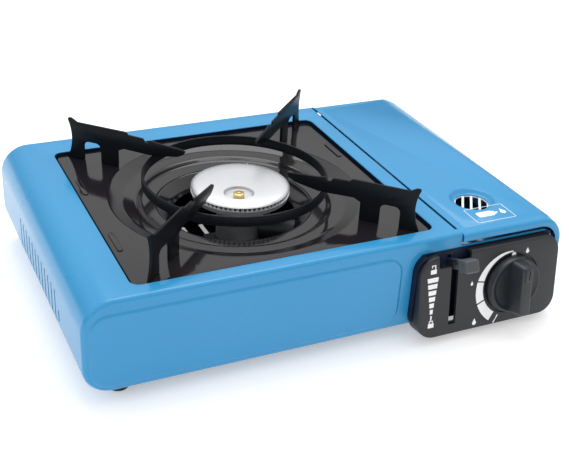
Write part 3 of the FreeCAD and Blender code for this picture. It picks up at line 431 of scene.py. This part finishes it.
# ---- Turned-down edges of the case ----
# The ledge under the tray, the seam's channel and the collar round the control panel are pressed from the same sheet
# as the case.
# They are coloured near-black navy as painted shade: the deep shade inside these gaps is painted into their colour.
# A thin dark plate behind the panel's notch and slot is painted shade as well: a dark sheet set where there is only
# shade.
def painted_shade_enamel():
    finish = Finish("painted_shade_enamel", specular_ior_level=0.25)
    cloud = finish.noise(40.0, 3.0)
    grain = finish.noise(800.0, 2.0)
    # The two near-black navy tones are painted shade, not the enamel's own colour.
    tone = finish.blend(cloud, (0.003, 0.008, 0.024, 1), (0.005, 0.013, 0.036, 1))
    return finish.coat(tone, grain * 0.2 + 0.45, grain, 0.00002)


# Painted shade: a dark plate behind the panel's notch and slot, where only shade is seen.
shade_plate = block("painted_shade_plate", (panel_low.x + 5 * mm, front - 0.9 * mm, panel_low.z + 5 * mm),
                (panel_high.x - 5 * mm, front - 0.1 * mm, panel_high.z - 1.5 * mm))
cut(shade_plate, *front_holes())
join(skirt, ledge, collar, shade_plate)
skirt.name = "case_edges"
fit(skirt, "body", "blue_paint", painted_shade_enamel())

# ---- Lid of the cartridge bay ----
# One pressed sheet in the same enamel: flat deck, rounded right side, short end lips and a slightly raised
# middle field.
# Its dished round vent takes a slotted bright grille, and it turns on a long pin low on the right.
lift = 0.7 * mm
lid_bottom = 31.4 * mm
lid_front = front - lip_ahead
lid = block("blue_lid", (lid_low.x, lid_front, lid_bottom - 0.01), (right - lift, back, top - lift))
round_edges(lid, lambda m, w: along_y(w) and m.x > right - 0.01 and m.z > 0.06, 21.3 * mm, 18)
round_edges(lid, lambda m, w: end_outline(m, w, (lid_front, back), lid_low.x), 3 * mm, 5)
remove_faces(lid, lambda m, n: m.x < lid_low.x + near or n.z < -0.9)
choose(lid, "FACE", lambda m, n: (n.z > 0.02 or n.x > 0.9) and abs(n.y) < 0.01)
bpy.ops.mesh.inset(thickness=5.2 * mm, depth=0, use_boundary=True)
bpy.ops.mesh.inset(thickness=1.0 * mm, depth=lift, use_boundary=True)
done()
modify(lid, "SOLIDIFY", thickness=sheet, offset=-1.0, use_even_offset=True, use_rim=True)
lip = 6.5 * mm
mouth = block("mouth", (lid_low.x - 0.01, lid_front - 0.01, 0), (right - lip, back + 0.01, top - lip))
round_edges(mouth, lambda m, w: along_y(w) and m.x > 0 and m.z > 0.05, 15.5 * mm, 12)
cut(lid, mouth, block("skirt_end", (0, lid_front - 0.01, 0), (right + 0.01, back + 0.01, lid_bottom)))
grille_low, grille_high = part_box("lid_vent_grille")
vent = (grille_low + grille_high) / 2
dish_radius, hole_radius, dish_deep = 18 * mm, 13 * mm, 3 * mm
cut(lid, drum("vent_cut", (vent.x, vent.y, top - 0.02), (vent.x, vent.y, top + 0.01), dish_radius, 96))


def turned(name, profile, centre, steps=96):
    """Spins a profile of (radius, height) points about an upright axis."""
    bpy.ops.object.select_all(action="DESELECT")
    bpy.ops.mesh.primitive_plane_add(size=1.0, location=(0, 0, 0))
    piece = bpy.context.object
    piece.name = name
    bpy.ops.object.mode_set(mode="EDIT")
    bpy.ops.mesh.delete(type="VERT")
    done()
    piece.data.from_pydata([(r, 0, z) for r, z in profile],
                           [(index, index + 1) for index in range(len(profile) - 1)], [])
    active(piece)
    bpy.ops.object.mode_set(mode="EDIT")
    bpy.ops.mesh.select_all(action="SELECT")
    bpy.ops.mesh.spin(steps=steps, angle=2 * math.pi, center=(0, 0, 0), axis=(0, 0, 1))
    bpy.ops.mesh.select_all(action="SELECT")
    bpy.ops.mesh.remove_doubles(threshold=0.00001)
    bpy.ops.mesh.normals_make_consistent(inside=False)
    bpy.ops.transform.translate(value=(centre[0], centre[1], 0))
    done()
    return piece


dish = turned("vent_dish", [(dish_radius + 0.3 * mm, top - sheet), (dish_radius + 0.3 * mm, top + 0.02 * mm),
                            (dish_radius - 0.4 * mm, top - 0.05 * mm),
                            (dish_radius - 1.0 * mm, top - 0.4 * mm),
                            (dish_radius - 2.2 * mm, top - 1.6 * mm),
                            (dish_radius - 3.2 * mm, top - 2.5 * mm),
                            (dish_radius - 4.0 * mm, top - dish_deep),
                            (hole_radius, top - dish_deep - 0.1 * mm),
                            (hole_radius - 0.1 * mm, top - dish_deep - 0.5 * mm),
                            (hole_radius, top - dish_deep - 0.95 * mm),
                            (dish_radius - 2.6 * mm, top - dish_deep - 0.8 * mm),
                            (dish_radius - 1.6 * mm, top - sheet),
                            (dish_radius + 0.3 * mm, top - sheet)], (vent.x, vent.y))
join(lid, dish)
fit(lid, "lid", "blue_paint", paint, "lid_panel")


# ---- Drip tray ----
# A loose pressed steel tray in glossy black vitreous enamel, which lies on the ledge of the deck opening.
# Its flat rim rolls down at the edge and steps down inside to the burner's hole.
def black_enamel():
    finish = Finish("black_enamel", specular_ior_level=0.5)
    cloud = finish.noise(14.0, 3.0)
    tone = finish.blend(cloud, (0.009, 0.008, 0.010, 1), (0.016, 0.014, 0.017, 1))
    peel = finish.noise(150.0, 2.0)
    return finish.coat(tone, cloud * 0.06 + 0.07, peel, 0.00002)


enamel = black_enamel()
tray_z = top - 2.5 * mm
tray_sheet = 0.8 * mm
bowl_radius = 95.5 * mm
rim_low = Vector((tray_low.x, tray_low.y, top - 4.4 * mm))
tray = rounded_block("enamel_tray", rim_low, (tray_high.x, tray_high.y, tray_z), 5.6 * mm)
round_edges(tray, lambda m, w: m.z > tray_z - near, 1.1 * mm, 4)
remove_faces(tray, lambda m, n: n.z < -0.9 and m.z < rim_low.z + near)
modify(tray, "SOLIDIFY", thickness=tray_sheet, offset=-1.0, use_rim=True)
cut(tray, drum("bowl_cut", (well_x, well_y, 0.05), (well_x, well_y, 0.1), bowl_radius, 128))
bowl_steps = ((97.5, 0.08), (95.5, 0.08), (84.0, 4.5), (74.0, 5.0), (70.0, 8.0), (59.0, 8.6), (50.5, 15.0),
              (48.0, 18.0))
bowl = turned("tray_bowl", [(r * mm, tray_z - drop * mm) for r, drop in bowl_steps], (well_x, well_y), 128)
modify(bowl, "BEVEL", width=1.6 * mm, segments=4, limit_method="ANGLE", angle_limit=math.radians(8))
modify(bowl, "SOLIDIFY", thickness=tray_sheet, offset=-1.0, use_rim=True)
ribs = []
for side_x, side_y in ((-1, -1), (-1, 1), (1, -1), (1, 1)):
    rib_x, rib_y = well_x + side_x * 106 * mm, well_y + side_y * 44 * mm
    rib = rounded_block("tray_rib", (rib_x - 2 * mm, rib_y - 13 * mm, tray_z - 0.3 * mm),
                        (rib_x + 2 * mm, rib_y + 13 * mm, tray_z + 0.9 * mm), 1.9 * mm)
    round_edges(rib, lambda m, w: m.z > tray_z + 0.8 * mm, 0.6 * mm, 3)
    ribs.append(rib)
join(tray, bowl, *ribs)
fit(tray, "tray", "black_enamel", enamel, "drip_tray")


# ---- Pan support ----
# A steel ring with four stamped arms welded to it, in satin black enamel; it lifts off the tray.
# The ring's upper rim is rolled, and the arms' edges are eased by the enamel.
def satin_enamel():
    finish = Finish("satin_enamel", specular_ior_level=0.12)
    cloud = finish.noise(22.0, 3.0)
    grain = finish.noise(600.0, 2.0)
    tone = finish.blend(cloud, (0.005, 0.006, 0.008, 1), (0.009, 0.011, 0.014, 1))
    return finish.coat(tone, grain * 0.14 + 0.24, grain, 0.00002)


def eased(node, name, radius, segments=2, sharp=35.0):
    """A copy of a plain node, merged into one skin, with its sharp edges rounded."""
    source = bpy.data.objects[node]
    piece = source.copy()
    piece.data = source.data.copy()
    piece.name = name
    bpy.context.collection.objects.link(piece)
    active(piece)
    bpy.ops.object.mode_set(mode="EDIT")
    bpy.ops.mesh.select_all(action="SELECT")
    bpy.ops.mesh.remove_doubles(threshold=0.000002)
    bpy.ops.mesh.dissolve_limited(angle_limit=math.radians(1.0))
    done()
    modify(piece, "BEVEL", width=radius, segments=segments, limit_method="ANGLE",
           angle_limit=math.radians(sharp))
    return piece


satin = satin_enamel()
ring_low, ring_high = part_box("pan_ring")
ring_radius = (ring_high.x - ring_low.x) / 2
ring_sheet = 2 * mm
bore = ring_radius - ring_sheet
ring = turned("support_ring", [(bore, ring_low.z + 0.4 * mm), (bore + 0.4 * mm, ring_low.z),
                               (ring_radius - 0.4 * mm, ring_low.z),
                               (ring_radius, ring_low.z + 0.4 * mm), (ring_radius, ring_high.z - 0.9 * mm),
                               (ring_radius - 0.3 * mm, ring_high.z - 0.3 * mm),
                               (ring_radius - 1.0 * mm, ring_high.z),
                               (bore + 0.3 * mm, ring_high.z - 0.3 * mm), (bore, ring_high.z - 0.9 * mm),
                               (bore, ring_low.z + 0.4 * mm)], (well_x, well_y), 128)
fit(ring, "pan_support", "black_enamel", satin, "pan_ring")
for corner in ("front_right", "back_right", "back_left", "front_left"):
    arm = eased("pan_arm_" + corner, "support_arm_" + corner, 0.45 * mm, 3)
    fit(arm, "pan_support", "black_enamel", satin, "pan_arm_" + corner)


# ---- Burner ----
# A pressed aluminium cap with a ring of flame ports sits on a cast aluminium bowl over the tray's hole.
# A brass nut in a round pocket holds the two together, and a plain tube brings the mixed gas.
def satin_metal(name, dull, bright, gloss, stretch=(1, 1, 1)):
    finish = Finish(name, metallic=1.0)
    cloud = finish.noise(30.0, 3.0)
    grain = finish.noise(700.0, 3.0, stretch)
    tone = finish.blend(cloud, dull, bright)
    return finish.coat(tone, grain * 0.16 + gloss, grain, 0.00001)


aluminium = satin_metal("satin_aluminium", (0.66, 0.67, 0.69, 1), (0.76, 0.77, 0.79, 1), 0.34)
brass = satin_metal("turned_brass", (0.66, 0.47, 0.20, 1), (0.78, 0.58, 0.28, 1), 0.22)
cap_low, cap_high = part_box("burner_cap")
cap_top, cap_foot = cap_high.z, cap_low.z
cap_radius = (cap_high.x - cap_low.x) / 2
burner_x, burner_y = (cap_low.x + cap_high.x) / 2, (cap_low.y + cap_high.y) / 2
cap = turned("burner_cap_pressed", [(0, cap_top), (23 * mm, cap_top - 0.2 * mm),
                                    (cap_radius - 6.0 * mm, cap_top - 0.55 * mm),
                                    (cap_radius - 3.0 * mm, cap_top - 1.0 * mm),
                                    (cap_radius - 1.4 * mm, cap_top - 1.5 * mm),
                                    (cap_radius - 0.4 * mm, cap_top - 2.2 * mm),
                                    (cap_radius, cap_top - 2.8 * mm),
                                    (cap_radius - 0.5 * mm, cap_top - 3.15 * mm),
                                    (cap_radius - 1.0 * mm, cap_top - 3.3 * mm),
                                    (cap_radius - 1.3 * mm, cap_foot + 1.3 * mm),
                                    (cap_radius - 0.7 * mm, cap_foot + 1.0 * mm),
                                    (cap_radius, cap_foot + 0.7 * mm), (cap_radius, cap_foot + 0.1 * mm),
                                    (cap_radius - 0.2 * mm, cap_foot), (cap_radius - 4.5 * mm, cap_foot),
                                    (cap_radius - 4.5 * mm, cap_top - 3.2 * mm),
                                    (0, cap_top - 2.2 * mm)], (burner_x, burner_y), 128)
port_count = 64
ports = []
for index in range(port_count):
    port = block("port", (30 * mm, -0.85 * mm, cap_foot + 1.1 * mm),
                 (39 * mm, 0.85 * mm, cap_foot + 3.4 * mm))
    port.rotation_euler.z = index * 2 * math.pi / port_count
    port.location = (burner_x, burner_y, 0)
    bpy.ops.object.transform_apply(location=True, rotation=True, scale=True)
    ports.append(port)
cut(cap, join(*ports))
nut_low, nut_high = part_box("burner_nut")
pocket = (nut_low + nut_high) / 2
pocket_radius = 11 * mm
cut(cap, drum("pocket_cut", (pocket.x, pocket.y, cap_top - 4.0 * mm), (pocket.x, pocket.y, cap_top + 0.01),
              pocket_radius + 0.4 * mm))
cup = turned("cap_pocket", [(pocket_radius + 0.8 * mm, cap_top - 0.32 * mm),
                            (pocket_radius + 0.3 * mm, cap_top - 0.05 * mm),
                            (pocket_radius, cap_top - 0.35 * mm),
                            (pocket_radius - 0.2 * mm, cap_top - 2.7 * mm),
                            (pocket_radius - 0.9 * mm, cap_top - 3.35 * mm), (1.5 * mm, cap_top - 3.35 * mm),
                            (1.5 * mm, cap_top - 4.1 * mm), (pocket_radius + 0.8 * mm, cap_top - 4.1 * mm),
                            (pocket_radius + 0.8 * mm, cap_top - 0.32 * mm)], (pocket.x, pocket.y), 64)
join(cap, cup)
fit(cap, "body", "burner_aluminium", aluminium, "burner_cap", angle=30.0)
nut = eased("burner_nut", "burner_nut_turned", 0.3 * mm)
fit(nut, "body", "brass", brass, "burner_nut")


def dress(material, *nodes):
    """Gives plain nodes their real finish."""
    for node in nodes:
        for slot in bpy.data.objects[node].material_slots:
            slot.material = material


cast = satin_metal("cast_aluminium", (0.50, 0.51, 0.53, 1), (0.62, 0.63, 0.64, 1), 0.40)
plated = satin_metal("plated_steel", (0.52, 0.53, 0.55, 1), (0.64, 0.65, 0.66, 1), 0.24, (1, 1, 6))
dress(cast, "burner_base")
# Near-black steel for the mixing tube, burner bracket and bottom plate is painted shade: these parts sit in shade
# under the tray, and their colour is darkened to stand for it.
painted_shade_steel = satin_metal("steel_in_painted_shade", (0.030, 0.032, 0.036, 1), (0.050, 0.053, 0.058, 1), 0.42)
dress(painted_shade_steel, "mixing_tube", "burner_bracket", "bottom_plate")
dress(brass, "gas_pipe", "gas_jet")


# ---- Control panel ----
# A deep moulded panel in satin black plastic stands ahead of the case and leans back a little.
# It has a finger notch over the lever's slot and a shallow round recess for the knob; four screws hold it
# from behind.
def satin_plastic(name, dark, light, gloss, grain_depth=0.00003):
    finish = Finish(name, specular_ior_level=0.5)
    cloud = finish.noise(12.0, 2.0)
    grain = finish.noise(1100.0, 2.0)
    tone = finish.blend(cloud, dark, light)
    return finish.coat(tone, cloud * 0.08 + grain * 0.10 + gloss, grain, grain_depth)


panel_plastic = satin_plastic("panel_plastic", (0.010, 0.011, 0.014, 1), (0.015, 0.016, 0.020, 1), 0.36)
lean = math.radians(7.0)
face_foot = Vector((0, front - 15.2 * mm, panel_low.z))
face_height, face_wall, face_round = 64.5 * mm, 2.5 * mm, 14 * mm
face_left, face_right = panel_low.x, panel_high.x


def on_panel(piece):
    """Leans a piece that was built upright against the plane y = 0 back onto the panel's face."""
    active(piece)
    piece.rotation_euler = (-lean, 0, 0)
    piece.location = face_foot
    bpy.ops.object.transform_apply(location=True, rotation=True, scale=True)
    return piece


panel = rounded_block("moulded_panel", (face_left, 0, 0), (face_right, 40 * mm, face_height), face_round,
                      axis=1, segments=14)
round_edges(panel, lambda m, w: abs(m.y) < near and abs(w.y) < near, 1.6 * mm, 4)
inside = rounded_block("panel_inside", (face_left + face_wall, face_wall, face_wall),
                       (face_right - face_wall, 41 * mm, face_height - face_wall), face_round - face_wall,
                       axis=1, segments=12)
knob_v = 31.85 * mm
knob_radius = 22.6 * mm
notch_left, notch_right, notch_deep = 71.5 * mm, 98.5 * mm, 9.5 * mm
notch = rounded_block("finger_notch", (notch_left, -0.001, face_height - notch_deep),
                      (notch_right, 7 * mm, face_height + 0.02),
                      2 * mm, axis=1, segments=5)
slot_half = 2.9 * mm
lever_x = 85 * mm
lever_gap = block("panel_slot", (lever_x - slot_half, -0.001, 8.6 * mm),
                  (lever_x + slot_half, 6 * mm, face_height - 8 * mm))
cut(panel, inside, notch, lever_gap,
    drum("knob_recess", (knob_x, -0.001, knob_v), (knob_x, 1.3 * mm, knob_v), knob_radius + 1.6 * mm, 96),
    drum("spindle_bore", (knob_x, -0.001, knob_v), (knob_x, 0.02, knob_v), 4.5 * mm, 48))
bosses = []
for boss_x in (face_left + 12 * mm, face_right - 12 * mm):
    for boss_v in (12 * mm, face_height - 12 * mm):
        bosses.append(drum("boss", (boss_x, 2 * mm, boss_v), (boss_x, 40 * mm, boss_v), 3.2 * mm, 32))
join(panel, *bosses)
on_panel(panel)
cut(panel, block("behind_panel", (0, front - 0.05 * mm, -0.1), (right + 0.01, front + 0.1, 0.2)))
fit(panel, "body", "panel_plastic", panel_plastic, "control_panel", angle=30.0)
dress(plated, "panel_screws")


# ---- Printed marks on the panel ----
# White ink, a film thick: a stepped column of bars beside the lever, and a widening band round the knob.
# Plain padlocks and flames stand where words would be.
def white_ink():
    finish = Finish("white_ink", specular_ior_level=0.4)
    wear = finish.noise(260.0, 3.0)
    tone = finish.blend(wear, (0.86, 0.87, 0.88, 1), (0.97, 0.97, 0.97, 1))
    return finish.coat(tone, wear * 0.1 + 0.42)


def bar(left_x, right_x, low_v, high_v):
    return block("bar", (left_x * mm, -0.06 * mm, low_v * mm), (right_x * mm, 0.1 * mm, high_v * mm))


def drop(x, v, radius, tip):
    """A round spot drawn out to a tip at the top."""
    spot = drum("drop", (x * mm, -0.06 * mm, v * mm), (x * mm, 0.1 * mm, v * mm), radius * mm, 24)
    choose(spot, "VERT", lambda p, n: p.z > (v + radius * 0.8) * mm)
    bpy.ops.transform.resize(value=(0.2, 1, 1), center_override=(x * mm, 0, v * mm))
    bpy.ops.transform.translate(value=(0, 0, tip * mm))
    done()
    return spot


def band(name, start, end, inner, outer):
    """A band round the knob between two angles, whose outer edge moves out as it goes."""
    bpy.ops.object.select_all(action="DESELECT")
    bpy.ops.mesh.primitive_grid_add(x_subdivisions=48, y_subdivisions=1, size=1.0, location=(0, 0, 0))
    strip = bpy.context.object
    strip.name = name
    for point in strip.data.vertices:
        share, edge = point.co.x + 0.5, point.co.y + 0.5
        turn = math.radians(start + (end - start) * share)
        far = inner + (outer[1] - outer[0]) * share + outer[0] - inner
        radius = (inner + (far - inner) * edge) * mm
        point.co = (knob_x + radius * math.cos(turn), -0.06 * mm, knob_v + radius * math.sin(turn))
    modify(strip, "SOLIDIFY", thickness=0.1 * mm, offset=0.0)
    return strip


ink = white_ink()
marks = []
for index in range(7):
    middle_v = 47.4 - 5.05 * index
    half = 4.7 - 0.68 * index
    mark = bar(66.8 - half, 66.8 + half, middle_v - 1.8, middle_v + 1.8)
    choose(mark, "VERT", lambda p, n: p.z < (middle_v - 1.5) * mm)
    bpy.ops.transform.resize(value=(0.9, 1, 1), center_override=(66.8 * mm, 0, 0))
    done()
    marks.append(mark)
for lock_x, lock_v, raised in ((67.0, 52.2, 1.2), (67.0, 9.2, 0.0)):
    marks += [bar(lock_x - 2.4, lock_x + 2.4, lock_v, lock_v + 3.4),
              bar(lock_x + 1.0, lock_x + 1.7, lock_v + 3.2, lock_v + 5.4 + raised),
              bar(lock_x - 1.7, lock_x + 1.7, lock_v + 5.0 + raised, lock_v + 5.7 + raised),
              bar(lock_x - 1.7, lock_x - 1.0, lock_v + 3.2 + raised * 1.4, lock_v + 5.4 + raised)]
marks.append(drum("off_dot", (knob_x, -0.06 * mm, 54.9 * mm), (knob_x, 0.1 * mm, 54.9 * mm), 1.9 * mm, 32))
marks += [band("gas_band", 92, 166.5, 25.4, (26.2, 31.0)), band("gas_band", 168.7, 200.8, 25.4, (31.1, 32.0)),
          band("gas_band", 203.2, 236, 25.4, (32.0, 33.0))]
marks += [drop(100.5, 37.6, 1.1, 1.3), drop(105.0, 5.0, 1.7, 2.0), drop(148.0, 55.2, 1.5, 1.6)]
for bolt_foot, bolt_head in (((121.9, 1.5), (124.2, 5.0)), ((123.6, 4.0), (125.4, 7.6))):
    stroke = bar(bolt_foot[0] - 0.5, bolt_foot[0] + 0.6, bolt_foot[1], bolt_head[1])
    choose(stroke, "VERT", lambda p, n: p.z > (bolt_head[1] - 0.2) * mm)
    bpy.ops.transform.translate(value=((bolt_head[0] - bolt_foot[0]) * mm, 0, 0))
    done()
    marks.append(stroke)
join(*marks)
print_marks = on_panel(marks[0])
print_marks.name = "panel_marks"
fit(print_marks, "body", "panel_plastic", ink)

# ---- Knob ----
# One moulding in satin black plastic: a low round skirt with a broad finger bar across it and a raised
# pointer at its end.
# It is pushed onto the valve's spindle in the panel's round recess.
knob_plastic = satin_plastic("knob_plastic", (0.010, 0.013, 0.017, 1), (0.015, 0.019, 0.024, 1), 0.30)
knob = turned("moulded_knob", [(0, -0.6 * mm), (21.9 * mm, -0.6 * mm), (22.45 * mm, -0.1 * mm),
                               (22.5 * mm, 1.2 * mm),
                               (21.7 * mm, 4.9 * mm), (21.2 * mm, 5.7 * mm), (20.4 * mm, 6.0 * mm),
                               (19.5 * mm, 5.8 * mm),
                               (18.4 * mm, 5.1 * mm), (16.5 * mm, 4.8 * mm), (0, 4.6 * mm)], (0, 0), 96)
grip = block("finger_bar", (-6.5 * mm, -20.8 * mm, 3.5 * mm), (6.5 * mm, 20.8 * mm, 18.4 * mm))
choose(grip, "FACE", lambda m, n: n.z > 0.9)
bpy.ops.transform.resize(value=(0.68, 0.93, 1), center_override=(0, 0, 0))
done()
round_edges(grip, lambda m, w: abs(w.z) > 5 * mm, 3.2 * mm, 6)
round_edges(grip, lambda m, w: m.z > 18.3 * mm, 0.9 * mm, 4)
pointer = rounded_block("pointer", (-2.4 * mm, 8.0 * mm, 10.0 * mm), (2.4 * mm, 19.0 * mm, 18.95 * mm),
                        0.9 * mm, segments=3)
round_edges(pointer, lambda m, w: m.z > 18.9 * mm, 0.3 * mm, 2)
cut(pointer, block("pointer_line", (0.9 * mm, 10.0 * mm, 18.2 * mm), (1.5 * mm, 17.0 * mm, 20 * mm)))
join(knob, grip, pointer)
active(knob)
knob.rotation_euler = (math.radians(90), 0, 0)
knob.location = (knob_x, 0, knob_v)
bpy.ops.object.transform_apply(location=True, rotation=True, scale=True)
on_panel(knob)
fit(knob, "knob", "knob_plastic", knob_plastic, "knob")
dress(plated, "valve_spindle")

# ---- Cartridge lock ----
# A stamped steel lever on a pin passes through the panel's slot and ends in a moulded grip.
# Its upper arm draws the carriage along two rivets and so pulls the cartridge onto the valve.
grip_plastic = satin_plastic("grip_plastic", (0.055, 0.058, 0.068, 1), (0.075, 0.080, 0.092, 1), 0.34)
dress(grip_plastic, "lever_grip")
dress(plated, "lock_lever", "lever_pivot_pin", "lock_carriage", "carriage_guides")

# ---- Lid vent and lid label ----
# A round bright insert with four open slots is held under the lid's dished vent.
# The label beside it is an outline with a plain gas cartridge, in the same white ink.
bright = Finish("bright_insert", specular_ior_level=0.5)
bright_cloud = bright.noise(80.0)
bright_white = bright.coat(bright.blend(bright_cloud, (0.74, 0.76, 0.78, 1), (0.90, 0.91, 0.92, 1)),
                           bright_cloud * 0.2 + 0.3)
grille = eased("lid_vent_grille", "vent_insert", 0.15 * mm)
fit(grille, "lid", "plated_steel", bright_white, "lid_vent_grille")
half_wide, half_deep, line = 16.8, 10.6, 0.45
label = [bar(-half_wide, half_wide, half_deep - line, half_deep),
         bar(-half_wide, half_wide, -half_deep, line - half_deep),
         bar(-half_wide, line - half_wide, -half_deep, half_deep),
         bar(half_wide - line, half_wide, -half_deep, half_deep),
         bar(-11.0, 3.0, -3.6, 3.6), bar(2.8, 4.6, -2.4, 2.4), bar(4.4, 6.8, -0.9, 0.9),
         drop(11.2, -1.0, 2.3, 3.0)]
round_edges(label[4], lambda m, w: along_y(w), 1.6 * mm, 4)
join(*label)
active(label[0])
label[0].name = "lid_label"
label[0].rotation_euler = (math.radians(-90), 0, 0)
label[0].location = (130.0 * mm, front + 19.5 * mm, top + 0.02 * mm)
bpy.ops.object.transform_apply(location=True, rotation=True, scale=True)
fit(label[0], "lid", "blue_paint", ink)

# ---- Bay, floor and gas parts ----
# Plated sheet makes the heat shield and the cartridge's cradle; a zinc casting holds the valve.
# They are spot-welded or screwed inside the case, and only show with the lid open or from below.
zinc = satin_metal("cast_zinc", (0.40, 0.41, 0.43, 1), (0.52, 0.53, 0.55, 1), 0.38)
dress(plated, "partition_wall", "cartridge_cradle", "base_screws", "regulator_bracket", "regulator_screw",
      "cartridge_collar", "electrode_clip", "electrode_pin", "lid_hinge_pin")
dress(satin, "lid_rest")
dress(zinc, "regulator_body", "regulator_cover")
dress(paint, "side_rail")


# ---- Spark parts, seals and feet ----
# A piezo clicker, its rubber-covered lead and a glazed ceramic electrode; moulded rubber feet under the case.
def soft_rubber():
    finish = Finish("black_rubber", specular_ior_level=0.35)
    bloom = finish.noise(60.0, 3.0)
    grain = finish.noise(1500.0, 2.0)
    tone = finish.blend(bloom, (0.016, 0.016, 0.017, 1), (0.030, 0.030, 0.031, 1))
    return finish.coat(tone, grain * 0.15 + 0.62, grain, 0.00004)


rubber = soft_rubber()
dress(rubber, "collar_seal", "lead_grommet", "ignition_lead")
dress(satin_plastic("igniter_plastic", (0.17, 0.17, 0.18, 1), (0.23, 0.23, 0.24, 1), 0.34), "piezo_igniter",
      "piezo_plunger",
      "igniter_terminal")
dress(satin_plastic("glazed_ceramic", (0.78, 0.77, 0.73, 1), (0.88, 0.87, 0.84, 1), 0.12),
      "electrode_insulator")
foot_low, foot_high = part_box("rubber_feet")
foot_radius = 8 * mm
feet = []
for foot_x in (foot_low.x + foot_radius, foot_high.x - foot_radius):
    for foot_y in (foot_low.y + foot_radius, foot_high.y - foot_radius):
        feet.append(turned("foot", [(0, 0.3 * mm), (3.0 * mm, 0.3 * mm), (3.4 * mm, 0), (5.6 * mm, 0),
                                    (7.0 * mm, 0.7 * mm),
                                    (7.8 * mm, 2.0 * mm), (foot_radius, 3.8 * mm), (foot_radius, foot_high.z),
                                    (0, foot_high.z)], (foot_x, foot_y), 48))
join(*feet)
feet[0].name = "moulded_feet"
fit(feet[0], "body", "black_rubber", rubber, "rubber_feet")
